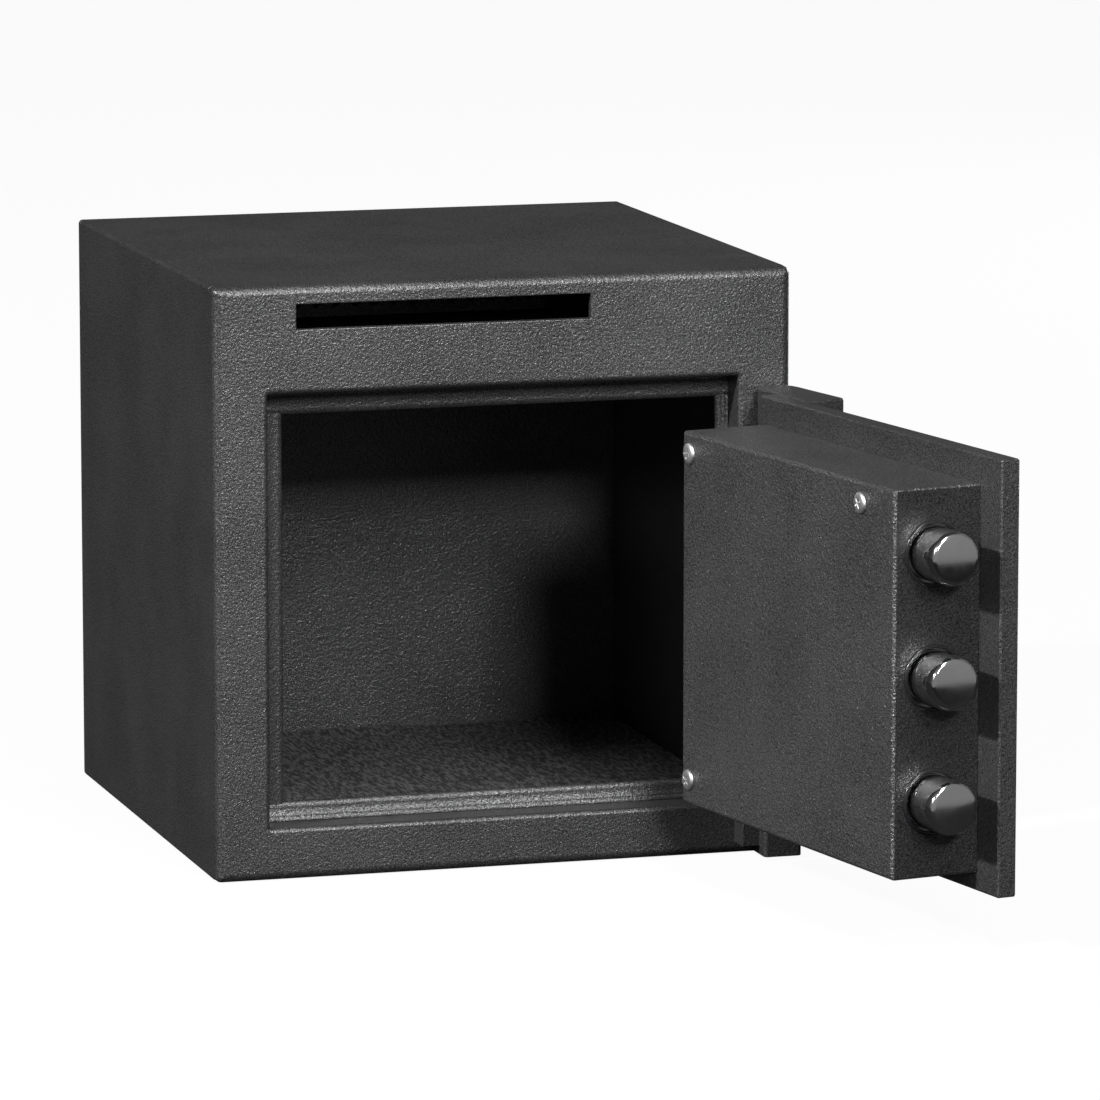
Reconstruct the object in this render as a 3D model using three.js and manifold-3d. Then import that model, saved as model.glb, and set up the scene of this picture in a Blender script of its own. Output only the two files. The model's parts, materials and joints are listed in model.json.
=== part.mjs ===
// Front-loading deposit safe with its door open: a painted sheet-steel body with a deposit slot,
// a recessed plate door on outside hinges, and a three-bolt boltwork under a sheet cover.
// Millimetres. X to the right, Y to the back, Z up. Origin under the middle of the base.
// Body pieces are drawn with Y = 0 on the front face. Door pieces are drawn with the door shut.

import * as THREE from "three";
import { mergeVertices } from "three/addons/utils/BufferGeometryUtils.js";
import Module from "manifold-3d";

const wasm = await Module();
wasm.setup();

// Fits
const GAP = 0.3; // between pieces that rest on or slide past each other
const PIN_FIT = 0.35; // round a turning pin or spindle

// Body
const WIDTH = 355.6;
const HEIGHT = 355.6;
const DEPTH = 355.6;
const WALL = 4.8; // sheet of the wrap, the face and the back
const EDGE_RADIUS = 2.5; // long edges of the wrap and back
const FACE_RADIUS = 5.5; // rounding round the front face
const FACE_CORNER = 3.5; // corners of the face, seen from the front
const SKIRT_DEPTH = 12; // front frame, from the face to its joint with the wrap
const ANCHOR_RADIUS = 6.5;
const ANCHOR_INSET_X = 57.8; // anchor hole from the side of the body
const ANCHOR_INSET_Y = 60; // anchor hole from the front and from the back

// Face round the recess
const STILE = 32.8; // on each side
const HEAD_RAIL = 64.5;
const SILL_RAIL = 31.5;

// Door plate and the gaps round it
const DOOR_THICK = 12;
const DOOR_BEVEL = 1;
const FREE_GAP = 2; // plate to recess at the free edge
const HINGE_GAP = 2.5; // plate to recess at the hinge edge
const SILL_GAP = 3.2;
const HEAD_GAP = 6;
const OPEN_ANGLE = 100.2; // degrees, as the safe stands

// Recess and stops
const RECESS_DEPTH = 21.5;
const RECESS_SHEET = 3;
const RECESS_RADIUS = 3; // rounding at its front edge
const RECESS_CORNER = 1; // corners of the recess, seen from the front
const STOP_THICK = 3.4;
const STOP_RADIUS = 1.5;
const STOP_LAP_FREE = 14; // how far each stop stands into the opening
const STOP_LAP_HINGE = 7.8;
const STOP_LAP_HEAD = 13.8;
const STOP_LAP_SILL = 10.5;
const FOOT_STEPS = 2; // small steps of the folded foot in front of each stop
const FOOT_STEP_OUT = 0.8;
const FOOT_STEP_RISE = 2.4;

// Deposit slot, chute and baffle
const SLOT_WIDTH = 180.2;
const SLOT_HEIGHT = 14.7;
const SLOT_LEFT = 50.4; // from the left side of the body
const SLOT_DROP = 11.5; // from the top of the body to the slot
const SLOT_RADIUS = 0.9; // rounding at its front edge
const SLOT_CORNER = 0.5; // corners of the slot, seen from the front
const CHUTE_SHEET = 2;
const CHUTE_SIDE_ROOM = 4; // chute wider than the slot on each side
const CHUTE_STEP = 1.2; // tray below the slot's lower edge
const CHUTE_LEVEL = 56; // level part of the tray
const CHUTE_FALL_RUN = 50;
const CHUTE_FALL_DROP = 26;
const BAFFLE_BACK = 70; // baffle behind the front face
const BAFFLE_MOUTH = 9; // between its teeth and the tray
const BAFFLE_FLANGE = 12;
const TOOTH_PITCH = 12;
const TOOTH_DEPTH = 7;
const TOOTH_TIP = 2.4; // width of each tooth at its end

// Floor
const FLOOR_BOARD = 12.2;
const CARPET_THICK = 8;
const FLOOR_ROOM = 1.5; // round the board and the carpet

// Hinges
const PIVOT_OUT = 13; // pivot in front of the face
const PIVOT_BESIDE = 23.5; // pivot from the plate's hinge edge
const PIN_RADIUS = 4.8;
const PIN_IN_BLOCK = 18;
const PIN_IN_ARM = 20;
const PIN_CHAMFER = 1.5;
const WASHER_THICK = 1.5;
const WASHER_RADIUS = 10.5;
const BLOCK_WIDTH = 23.6;
const BLOCK_OUT = 26;
const BLOCK_RADIUS = 2.5;
const PAD_WIDTH = 10.9; // foot of the block beside the door plate
const PAD_OUT = 17;
const PAD_RISE = 5.5; // its underside above the block's
const LOWER_BLOCK_BOTTOM = 2;
const LOWER_BLOCK_HEIGHT = 28;
const UPPER_BLOCK_HEIGHT = 26.2;
const KNUCKLE_RADIUS = 12.5;
const ARM_REACH = 61.7; // from the pivot to the arm's end on the plate
const ARM_SLANT = 6; // the end's slant
const ARM_FLARE = 1.1; // the arm is this much thicker at its end
const ARM_BEVEL = 1;
const UPPER_ARM_HEIGHT = 27.1;
const LOWER_ARM_HEIGHT = 28.2;

// Lock cover
const COVER_DEPTH = 55;
const COVER_SHEET = 2;
const COVER_RADIUS = 2.5; // bend between its face and its sides
const COVER_CORNER = 1.5; // corners of the cover, seen from the front
const COVER_FREE_MARGIN = 23.5; // from each edge of the plate to the cover
const COVER_HINGE_MARGIN = 6.3;
const COVER_SILL_MARGIN = 10.7;
const COVER_HEAD_MARGIN = 16.6;
const BOLT_HOLE_ROOM = 1.7; // cover hole round a bolt
const SCREW_INSET = 9.5; // cover screw from the cover's hinge side
const SCREW_INSET_FREE = 38.5; // cover screw from the cover's free side
const SCREW_INSET_Z = 12.4; // cover screw from the cover's top
const SCREW_INSET_LOW = 15.2; // cover screw from the cover's underside
const SCREW_HEAD_RADIUS = 5.3;
const SCREW_HEAD_RISE = 3;
const SCREW_HEAD_RIM = 1.2; // straight side of the head
const SCREW_RADIUS = 2.5;
const SCREW_GRIP = 14;
const POST_RADIUS = 5;

// Boltwork
const BOLT_COUNT = 3;
const BOLT_END = 54.2; // outer bolts from the ends of the plate
const BOLT_RADIUS = 15.8;
const BOLT_TIP_RADIUS = 2.8;
const BOLT_CHAMFER = 1; // at its inner end
const BOLT_AXIS = 29.2; // from the plate's inner face
const BOLT_REACH = 25.3; // beyond the cover when thrown
const BOLT_LENGTH = 40.8;
const THROW = 24;
const BAR_THICK = 5;
const BAR_MARGIN = 1.2; // flange beyond the bolts
const WEB_STANDOFF = 10; // plate's inner face to the web
const WEB_BELOW = 20; // web under the handle's axis
const WEB_ABOVE = 25; // web over the handle's axis
const BOLT_SCREW_RADIUS = 3;
const BOLT_SCREW_GRIP = 11;
const BOLT_SCREW_HEAD = 5.5; // radius and rise of the head
const BOLT_SCREW_CHAMFER = 0.6;
const GUIDE_THICK = 6;
const GUIDE_BEHIND = 1; // guide behind the cover's side
const GUIDE_MARGIN = 13; // guide beyond the outer bolts
const GUIDE_DEPTH = 49;
const STUD_BESIDE = 26; // guide stud from the handle's axis
const STUD_BELOW = 8;
const STUD_RADIUS = 4;
const STUD_HEAD_RADIUS = 7;
const STUD_HEAD_RISE = 2.5;

// Handle
const HANDLE_INSET = 103; // axis from the plate's free edge
const HANDLE_BELOW = 34.9; // under the middle of the plate
const HANDLE_TURN = 90; // degrees from thrown to drawn
const SPINDLE_RADIUS = 6;
const ROSE_RADIUS = 27;
const ROSE_THICK = 8;
const ROSE_ROUND = 5.2; // rounding of its front edge
const HUB_RADIUS = 13;
const HUB_FLARE = 8; // length of the hub's flared foot
const HUB_WAIST = 2; // the hub is this much thinner at its middle
const HUB_CROWN = 4.5; // drawn in at the hub's end
const HUB_OUT = 46; // end of the hub in front of the plate
const HUB_WALL = 10; // solid end of the hub in front of its bore
const LEVER_LENGTH = 100;
const LEVER_ROOT = 9.5; // half height at the hub
const LEVER_TIP = 7; // half height at the end
const LEVER_DEPTH = 6; // half depth
const LEVER_SET = 1; // blade behind the hub's end
const LEVER_SWELL = 1.2; // fuller and thinner at half length
const LEVER_SWEEP = 7; // its end lies back towards the plate
const LEVER_END_SHARE = 0.55; // size of the last section
const LEVER_STEPS = 12;
const CRANK_THICK = 5;
const CRANK_STANDOFF = 3; // plate's inner face to the crank
const CRANK_HUB_RADIUS = 11;
const CRANK_LOBE_RADIUS = 6.5;
const CRANK_PIN_RADIUS = 3;
const CRANK_PIN_ROOM = 0.8; // each side of the pin in its slot
const CRANK_PIN_BEYOND = 3; // pin behind the web

// Dial lock
const DIAL_BESIDE = 70.5; // axis from the handle's axis
const DIAL_ABOVE = 41.6; // over the middle of the plate
const DIAL_RING_RADIUS = 40;
const DIAL_RING_THICK = 7;
const DIAL_RING_BEVEL = 2;
const DIAL_RING_BORE = 26;
const DIAL_SEAT = 3; // the dial sits this deep in its ring
const DIAL_ROOM = 1; // round the dial in its ring
const DIAL_RADIUS = 32;
const DIAL_THICK = 8;
const DIAL_CONE = 4;
const GRIP_RADIUS = 16;
const GRIP_RISE = 16;
const GRIP_FLUTES = 16;
const GRIP_FLUTE_DEPTH = 1.1;
const GRIP_CROWN = 2; // drawn in at the grip's end
const GRIP_FOOT = 4; // dial's flat round the grip
const SPINDLE_IN_GRIP = 4;
const DIAL_SPINDLE_RADIUS = 4;
const HARD_PLATE_THICK = 3;
const HARD_PLATE_MARGIN = 5; // beyond the lock
const LOCK_WIDTH = 61;
const LOCK_HEIGHT = 83;
const LOCK_DEPTH = 26;
const LOCK_CORNER = 5;
const LOCK_BACK_WALL = 3;
const LOCK_BOLT_SETBACK = 6; // lock's front to its bolt
const LID_THICK = 2;
const LID_INSET = 1;
const LID_CHAMFER = 0.5;
const LOCK_BOLT_WIDTH = 18;
const LOCK_BOLT_DEPTH = 11;
const LOCK_BOLT_SHOW = 7; // left standing out when drawn
const LOCK_BOLT_INSIDE = 16;

// Faceting
const FINE = 48; // sides of the large round pieces
const ROUND = 32;
const SMALL = 20;
const CORNER_STEPS = 4;
const SLOT_FLAT = 0.05; // keeps the ends of a round slot from closing up

// Places that follow from the sizes, with the door shut
const sideInside = WIDTH / 2 - WALL;
const roofInside = HEIGHT - WALL;
const backInside = DEPTH - WALL;
const recess = {
  left: -WIDTH / 2 + STILE,
  right: WIDTH / 2 - STILE,
  bottom: SILL_RAIL,
  top: HEIGHT - HEAD_RAIL,
};
const doorway = {
  left: recess.left + STOP_LAP_FREE,
  right: recess.right - STOP_LAP_HINGE,
  bottom: recess.bottom + STOP_LAP_SILL,
  top: recess.top - STOP_LAP_HEAD,
};
const door = {
  left: recess.left + FREE_GAP,
  right: recess.right - HINGE_GAP,
  bottom: recess.bottom + SILL_GAP,
  top: recess.top - HEAD_GAP,
};
const doorMiddleZ = (door.bottom + door.top) / 2;
const cover = {
  left: door.left + COVER_FREE_MARGIN,
  right: door.right - COVER_HINGE_MARGIN,
  bottom: door.bottom + COVER_SILL_MARGIN,
  top: door.top - COVER_HEAD_MARGIN,
  back: DOOR_THICK + GAP + COVER_DEPTH,
};
const slot = {
  left: -WIDTH / 2 + SLOT_LEFT,
  right: -WIDTH / 2 + SLOT_LEFT + SLOT_WIDTH,
  bottom: HEIGHT - SLOT_DROP - SLOT_HEIGHT,
  top: HEIGHT - SLOT_DROP,
};
const stopBack = RECESS_DEPTH + STOP_THICK;
const boardTop = WALL + FLOOR_BOARD;
const pivotX = door.right + PIVOT_BESIDE;
const handleX = door.left + HANDLE_INSET;
const handleZ = doorMiddleZ - HANDLE_BELOW;
const dialX = handleX + DIAL_BESIDE;
const dialZ = doorMiddleZ + DIAL_ABOVE;
const boltY = DOOR_THICK + BOLT_AXIS;
const boltTip = cover.left - BOLT_REACH;
const flangeFront = boltTip + BOLT_LENGTH + GAP;
const webFront = DOOR_THICK + WEB_STANDOFF;
const crankRadius = THROW / (2 * Math.sin((HANDLE_TURN * Math.PI) / 360));
const lockFront = DOOR_THICK + GAP + HARD_PLATE_THICK + GAP;
const lockBottom = dialZ - LOCK_HEIGHT / 2;
const boltPitch = (door.top - door.bottom - 2 * BOLT_END) / (BOLT_COUNT - 1);
const boltHeights = [];
for (let i = 0; i < BOLT_COUNT; i += 1) {
  boltHeights.push(door.bottom + BOLT_END + i * boltPitch);
}

// Materials
const paint = new THREE.MeshStandardMaterial({ color: 0x34363a, roughness: 0.55, metalness: 0.35 });
const darkPaint = new THREE.MeshStandardMaterial({ color: 0x232427, roughness: 0.6, metalness: 0.3 });
const chrome = new THREE.MeshStandardMaterial({ color: 0xd8dadd, roughness: 0.12, metalness: 1 });
const steel = new THREE.MeshStandardMaterial({ color: 0x8c8f94, roughness: 0.4, metalness: 0.9 });
const zinc = new THREE.MeshStandardMaterial({ color: 0xb9bbbd, roughness: 0.35, metalness: 0.9 });
const brass = new THREE.MeshStandardMaterial({ color: 0xb08d4a, roughness: 0.35, metalness: 0.9 });
const diecast = new THREE.MeshStandardMaterial({ color: 0x777a7d, roughness: 0.5, metalness: 0.7 });
const black = new THREE.MeshStandardMaterial({ color: 0x151515, roughness: 0.35, metalness: 0.1 });
const board = new THREE.MeshStandardMaterial({ color: 0x4a3a2c, roughness: 0.9, metalness: 0 });
const carpet = new THREE.MeshStandardMaterial({ color: 0x1b1b1c, roughness: 1, metalness: 0 });

// Geometry helpers

// Merges shared corners, drops empty triangles and turns all faces outward.
function closedGeometry(source) {
  const bare = new THREE.BufferGeometry();
  bare.setAttribute("position", source.getAttribute("position").clone());
  if (source.index) {
    bare.setIndex(source.index.clone());
  }
  const merged = mergeVertices(bare, 1e-4);
  const position = merged.getAttribute("position");
  const kept = [];
  let volume = 0;
  const a = new THREE.Vector3();
  const b = new THREE.Vector3();
  const c = new THREE.Vector3();
  for (let i = 0; i < merged.index.count; i += 3) {
    const [p, q, r] = [0, 1, 2].map((k) => merged.index.getX(i + k));
    if (p !== q && q !== r && r !== p) {
      kept.push(p, q, r);
      a.fromBufferAttribute(position, p);
      b.fromBufferAttribute(position, q);
      c.fromBufferAttribute(position, r);
      volume += a.dot(b.cross(c));
    }
  }
  merged.setIndex(volume < 0 ? kept.reverse() : kept);
  return merged;
}

function toSolid(geometry) {
  const closed = closedGeometry(geometry);
  const vertProperties = new Float32Array(closed.getAttribute("position").array);
  const triVerts = new Uint32Array(closed.index.array);
  return new wasm.Manifold(new wasm.Mesh({ numProp: 3, vertProperties, triVerts }));
}

function toGeometry(solid) {
  const mesh = solid.getMesh();
  const geometry = new THREE.BufferGeometry();
  geometry.setAttribute("position", new THREE.BufferAttribute(mesh.vertProperties, 3));
  geometry.setIndex(new THREE.BufferAttribute(mesh.triVerts, 1));
  return geometry;
}

function join(...geometries) {
  const [first, ...rest] = geometries.map(toSolid);
  return toGeometry(rest.reduce((whole, next) => whole.add(next), first));
}

function cut(geometry, ...tools) {
  return toGeometry(tools.map(toSolid).reduce((whole, tool) => whole.subtract(tool), toSolid(geometry)));
}

function box(x0, x1, y0, y1, z0, z1) {
  const geometry = new THREE.BoxGeometry(x1 - x0, y1 - y0, z1 - z0);
  return geometry.translate((x0 + x1) / 2, (y0 + y1) / 2, (z0 + z1) / 2);
}

// Solid of revolution about an axis through `at`. The profile lists [radius, distance along the axis].
function turned(axis, at, profile, sides = ROUND) {
  const geometry = new THREE.LatheGeometry(profile.map(([r, h]) => new THREE.Vector2(r, h)), sides);
  if (axis === "x") {
    geometry.rotateZ(-Math.PI / 2);
  }
  if (axis === "z") {
    geometry.rotateX(Math.PI / 2);
  }
  return geometry.translate(...at);
}

// Plain round bar from one distance to another along an axis.
function rod(axis, at, radius, from, to, sides = ROUND) {
  return turned(axis, at, [[0, from], [radius, from], [radius, to], [0, to]], sides);
}

// Prism of an outline: (y, z) along x, (x, z) along y, (x, y) along z.
function prism(axis, points, from, to) {
  const shape = new THREE.Shape(points.map(([u, v]) => new THREE.Vector2(u, v)));
  const geometry = new THREE.ExtrudeGeometry(shape, { depth: to - from, bevelEnabled: false });
  if (axis === "x") {
    geometry.applyMatrix4(new THREE.Matrix4().set(0, 0, 1, from, 1, 0, 0, 0, 0, 1, 0, 0, 0, 0, 0, 1));
  }
  if (axis === "y") {
    geometry.applyMatrix4(new THREE.Matrix4().set(1, 0, 0, 0, 0, 0, -1, to, 0, 1, 0, 0, 0, 0, 0, 1));
  }
  if (axis === "z") {
    geometry.translate(0, 0, from);
  }
  return geometry;
}

// Arc as [u, v] points, angles in degrees.
function arc(u, v, radius, from, to, steps = CORNER_STEPS) {
  const points = [];
  for (let i = 0; i <= steps; i += 1) {
    const angle = ((from + ((to - from) * i) / steps) * Math.PI) / 180;
    points.push([u + radius * Math.cos(angle), v + radius * Math.sin(angle)]);
  }
  return points;
}

// Rectangle with round corners, as [u, v] points.
function roundedRect(left, right, bottom, top, radius) {
  return [
    ...arc(right - radius, top - radius, radius, 0, 90),
    ...arc(left + radius, top - radius, radius, 90, 180),
    ...arc(left + radius, bottom + radius, radius, 180, 270),
    ...arc(right - radius, bottom + radius, radius, 270, 360),
  ];
}

// Slot with round ends, as [u, v] points.
function roundedSlot(left, right, bottom, top) {
  const radius = Math.min(right - left, top - bottom) / 2;
  return roundedRect(left, right, bottom, top, radius - SLOT_FLAT);
}

// Skin over rings of equally many points, closed by a fan at each end. Rings are round or convex.
function loft(rings) {
  const count = rings[0].length;
  const centres = [rings[0], rings[rings.length - 1]].map((ring) =>
    ring.reduce((sum, point) => sum.add(point), new THREE.Vector3()).divideScalar(count),
  );
  const points = [...rings.flat(), ...centres];
  const index = [];
  for (let r = 0; r + 1 < rings.length; r += 1) {
    for (let i = 0; i < count; i += 1) {
      const j = (i + 1) % count;
      const [a, b, c, d] = [r * count + i, r * count + j, (r + 1) * count + i, (r + 1) * count + j];
      index.push(a, b, d, a, d, c);
    }
  }
  const last = (rings.length - 1) * count;
  for (let i = 0; i < count; i += 1) {
    const j = (i + 1) % count;
    index.push(rings.length * count, j, i);
    index.push(rings.length * count + 1, last + i, last + j);
  }
  const geometry = new THREE.BufferGeometry().setFromPoints(points);
  geometry.setIndex(index);
  return geometry;
}

// Block with round corners along y whose outline is drawn in by `inset` at each station [y, inset].
function panned(frame, corner, stations) {
  return loft(
    stations.map(([y, inset]) =>
      roundedRect(
        frame.left + inset,
        frame.right - inset,
        frame.bottom + inset,
        frame.top - inset,
        Math.max(corner - inset, 0.2),
      ).map(([x, z]) => new THREE.Vector3(x, y, z)),
    ),
  );
}

function place(parent, name, geometry, material) {
  const flat = closedGeometry(geometry).toNonIndexed();
  flat.computeVertexNormals();
  const mesh = new THREE.Mesh(flat, material);
  mesh.name = name;
  parent.add(mesh);
}

// Body sheet metal

const bodyOutline = { left: -WIDTH / 2, right: WIDTH / 2, bottom: 0, top: HEIGHT };

function anchorPlaces() {
  const places = [];
  for (const x of [-WIDTH / 2 + ANCHOR_INSET_X, WIDTH / 2 - ANCHOR_INSET_X]) {
    for (const y of [ANCHOR_INSET_Y, DEPTH - ANCHOR_INSET_Y]) {
      places.push([x, y, 0]);
    }
  }
  return places;
}

function bodyWrap() {
  const outer = panned(bodyOutline, EDGE_RADIUS, [[SKIRT_DEPTH, 0], [backInside, 0]]);
  const hollow = box(-sideInside, sideInside, SKIRT_DEPTH - 1, backInside + 1, WALL, roofInside);
  const anchors = anchorPlaces().map((at) => rod("z", at, ANCHOR_RADIUS, -1, WALL + 1, SMALL));
  return cut(outer, hollow, ...anchors);
}

function backPanel() {
  const rear = arc(0, 0, EDGE_RADIUS, 0, 90).map(([u, v]) => [DEPTH - EDGE_RADIUS + v, EDGE_RADIUS - u]);
  return panned(bodyOutline, EDGE_RADIUS, [[backInside, 0], ...rear]);
}

// Stations of an opening through the front face whose front edge is rounded.
function flared(radius, depth, steps) {
  const round = arc(0, 0, radius, 90, 0, steps).map(([u, v]) => [radius - v, u - radius]);
  return [[-1, -radius], ...round, [depth + 1, 0]];
}

function frontFrame() {
  const rim = arc(0, 0, FACE_RADIUS, 90, 0).map(([u, v]) => [FACE_RADIUS - v, FACE_RADIUS - u]);
  const skin = panned(bodyOutline, FACE_CORNER, [...rim, [SKIRT_DEPTH, 0]]);
  const hollow = box(-sideInside, sideInside, WALL, SKIRT_DEPTH + 1, WALL, roofInside);
  const sleeve = box(
    recess.left - RECESS_SHEET,
    recess.right + RECESS_SHEET,
    WALL - 1,
    RECESS_DEPTH,
    recess.bottom - RECESS_SHEET,
    recess.top + RECESS_SHEET,
  );
  const opening = panned(recess, RECESS_CORNER, flared(RECESS_RADIUS, RECESS_DEPTH, CORNER_STEPS));
  const letterSlot = panned(slot, SLOT_CORNER, flared(SLOT_RADIUS, WALL, CORNER_STEPS / 2));
  return cut(join(cut(skin, hollow), sleeve), opening, letterSlot);
}

// Stop bar: its section is rounded on the edge that faces the doorway, at `inner`.
function stopSection(outer, inner) {
  const side = Math.sign(outer - inner);
  const centre = inner + side * STOP_RADIUS;
  const edge = [
    ...arc(RECESS_DEPTH + STOP_RADIUS, centre, STOP_RADIUS, -180, -90),
    ...arc(stopBack - STOP_RADIUS, centre, STOP_RADIUS, -90, 0),
  ].map(([y, v]) => [y, side > 0 ? v : 2 * centre - v]);
  return [[RECESS_DEPTH, outer], ...edge, [stopBack, outer]];
}

// Folded foot in front of a stop, with small steps down to the recess wall. `side` is where the wall faces.
function footSection(wall, side) {
  const back = RECESS_DEPTH + STOP_THICK / 2;
  const foot = wall + side * GAP;
  const steps = [[back, foot]];
  for (let i = FOOT_STEPS; i > 0; i -= 1) {
    const out = RECESS_DEPTH - i * FOOT_STEP_OUT;
    const rise = (FOOT_STEPS + 1 - i) * FOOT_STEP_RISE;
    steps.push([out, foot + side * (rise - FOOT_STEP_RISE)]);
    steps.push([out, foot + side * rise]);
  }
  steps.push([back, foot + side * FOOT_STEPS * FOOT_STEP_RISE]);
  return steps;
}

// Stop across the recess, from its wall to the doorway at `inner`.
function levelStop(wall, inner) {
  const side = Math.sign(inner - wall);
  const bar = prism(
    "x",
    stopSection(wall - side * RECESS_SHEET, inner),
    recess.left - RECESS_SHEET,
    recess.right + RECESS_SHEET,
  );
  const foot = prism("x", footSection(wall, side), recess.left + RECESS_CORNER, recess.right - RECESS_CORNER);
  return join(bar, foot);
}

function uprightStop(wall, inner) {
  const side = Math.sign(inner - wall);
  const turn = (section) => section.map(([y, x]) => [x, y]);
  return join(
    prism("z", turn(stopSection(wall - side * RECESS_SHEET, inner)), doorway.bottom, doorway.top),
    prism("z", turn(footSection(wall, side)), doorway.bottom, doorway.top),
  );
}

// Deposit chute and toothed baffle

const chute = {
  left: slot.left - CHUTE_SIDE_ROOM,
  right: slot.right + CHUTE_SIDE_ROOM,
  top: slot.bottom - CHUTE_STEP,
  bend: WALL + CHUTE_LEVEL,
  end: WALL + CHUTE_LEVEL + CHUTE_FALL_RUN,
};

function trayTopAt(y) {
  return chute.top - (CHUTE_FALL_DROP * Math.max(y - chute.bend, 0)) / CHUTE_FALL_RUN;
}

function chuteTray() {
  const slope = Math.hypot(CHUTE_FALL_RUN, CHUTE_FALL_DROP) / CHUTE_FALL_RUN;
  const under = chute.top - CHUTE_SHEET;
  const endUnder = trayTopAt(chute.end) - CHUTE_SHEET * slope;
  const bendUnder = chute.bend - (CHUTE_SHEET * (slope - 1) * CHUTE_FALL_RUN) / CHUTE_FALL_DROP;
  const floor = [
    [WALL, under],
    [bendUnder, under],
    [chute.end, endUnder],
    [chute.end, trayTopAt(chute.end)],
    [chute.bend, chute.top],
    [WALL, chute.top],
  ];
  const cheek = [
    [WALL, under],
    [bendUnder, under],
    [chute.end, endUnder],
    [chute.end, roofInside],
    [WALL, roofInside],
  ];
  return join(
    prism("x", floor, chute.left - CHUTE_SHEET / 2, chute.right + CHUTE_SHEET / 2),
    prism("x", cheek, chute.left - CHUTE_SHEET, chute.left),
    prism("x", cheek, chute.right, chute.right + CHUTE_SHEET),
  );
}

function fishBaffle() {
  const left = chute.left + GAP;
  const right = chute.right - GAP;
  const tip = trayTopAt(BAFFLE_BACK) + BAFFLE_MOUTH;
  const teeth = Math.floor((right - left) / TOOTH_PITCH);
  const margin = (right - left - teeth * TOOTH_PITCH) / 2;
  const outline = [[right, roofInside], [left, roofInside], [left, tip + TOOTH_DEPTH]];
  for (let i = 0; i < teeth; i += 1) {
    const start = left + margin + i * TOOTH_PITCH;
    outline.push([start, tip + TOOTH_DEPTH]);
    outline.push([start + (TOOTH_PITCH - TOOTH_TIP) / 2, tip]);
    outline.push([start + (TOOTH_PITCH + TOOTH_TIP) / 2, tip]);
  }
  outline.push([right - margin, tip + TOOTH_DEPTH]);
  outline.push([right, tip + TOOTH_DEPTH]);
  const flangeEnd = BAFFLE_BACK + BAFFLE_FLANGE;
  const flange = box(left, right, BAFFLE_BACK, flangeEnd, roofInside - CHUTE_SHEET, roofInside);
  return join(prism("y", outline, BAFFLE_BACK, BAFFLE_BACK + CHUTE_SHEET), flange);
}

// Floor

function floorPiece(from, to, holes) {
  const slab = box(
    -sideInside + FLOOR_ROOM,
    sideInside - FLOOR_ROOM,
    stopBack + FLOOR_ROOM,
    backInside - FLOOR_ROOM,
    from,
    to,
  );
  const anchors = anchorPlaces().map((at) => rod("z", at, ANCHOR_RADIUS, from - 1, to + 1, SMALL));
  return holes ? cut(slab, ...anchors) : slab;
}

// Hinges

const lowerBlockTop = LOWER_BLOCK_BOTTOM + LOWER_BLOCK_HEIGHT;
const upperBlockTop = door.top - UPPER_ARM_HEIGHT - WASHER_THICK - GAP;
const pivotAt = [pivotX, -PIVOT_OUT, 0];

function hingeBlock(bottom, top) {
  const left = pivotX - BLOCK_WIDTH / 2;
  const right = pivotX + BLOCK_WIDTH / 2;
  const outline = [
    [right, 0],
    [left, 0],
    ...arc(left + BLOCK_RADIUS, -BLOCK_OUT + BLOCK_RADIUS, BLOCK_RADIUS, 180, 270),
    ...arc(right - BLOCK_RADIUS, -BLOCK_OUT + BLOCK_RADIUS, BLOCK_RADIUS, 270, 360),
  ];
  const pad = box(left - PAD_WIDTH, left + 1, -PAD_OUT, 0, bottom + PAD_RISE, top);
  const bore = rod("z", pivotAt, PIN_RADIUS + GAP / 2, top - PIN_IN_BLOCK, top + 1, SMALL);
  return cut(join(prism("z", outline, bottom, top), pad), bore);
}

function hingePin(blockTop) {
  const bottom = blockTop - PIN_IN_BLOCK;
  const top = blockTop + WASHER_THICK + GAP + PIN_IN_ARM;
  const profile = [
    [0, bottom],
    [PIN_RADIUS, bottom],
    [PIN_RADIUS, top - PIN_CHAMFER],
    [PIN_RADIUS - PIN_CHAMFER, top],
    [0, top],
  ];
  return turned("z", pivotAt, profile, SMALL);
}

function hingeWasher(blockTop) {
  const inner = PIN_RADIUS + PIN_FIT;
  const top = blockTop + WASHER_THICK;
  const profile = [
    [inner, blockTop],
    [WASHER_RADIUS, blockTop],
    [WASHER_RADIUS, top],
    [inner, top],
    [inner, blockTop],
  ];
  return turned("z", pivotAt, profile, ROUND);
}

// Arm in plan: round knuckle on the pivot, flat against the plate, flaring to a slanted end.
function hingeArm(bottom, top) {
  const plan = [
    ...arc(0, 0, KNUCKLE_RADIUS, 90, 270, 12),
    [ARM_REACH, -PIVOT_OUT + GAP],
    [ARM_REACH - ARM_SLANT, KNUCKLE_RADIUS + ARM_FLARE],
  ];
  const outline = plan.map(([along, out]) => [pivotX - along, -PIVOT_OUT - out]);
  const middle = outline.reduce(([x, y], [u, v]) => [x + u / outline.length, y + v / outline.length], [0, 0]);
  const ring = (z, inset) =>
    outline.map(([x, y]) => {
      const away = Math.hypot(x - middle[0], y - middle[1]);
      const share = 1 - inset / away;
      return new THREE.Vector3(middle[0] + (x - middle[0]) * share, middle[1] + (y - middle[1]) * share, z);
    });
  const body = loft([
    ring(bottom, ARM_BEVEL),
    ring(bottom + ARM_BEVEL, 0),
    ring(top - ARM_BEVEL, 0),
    ring(top, ARM_BEVEL),
  ]);
  return cut(body, rod("z", pivotAt, PIN_RADIUS + PIN_FIT, bottom - 1, bottom + PIN_IN_ARM + 2, SMALL));
}

// Door plate and cover

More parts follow.
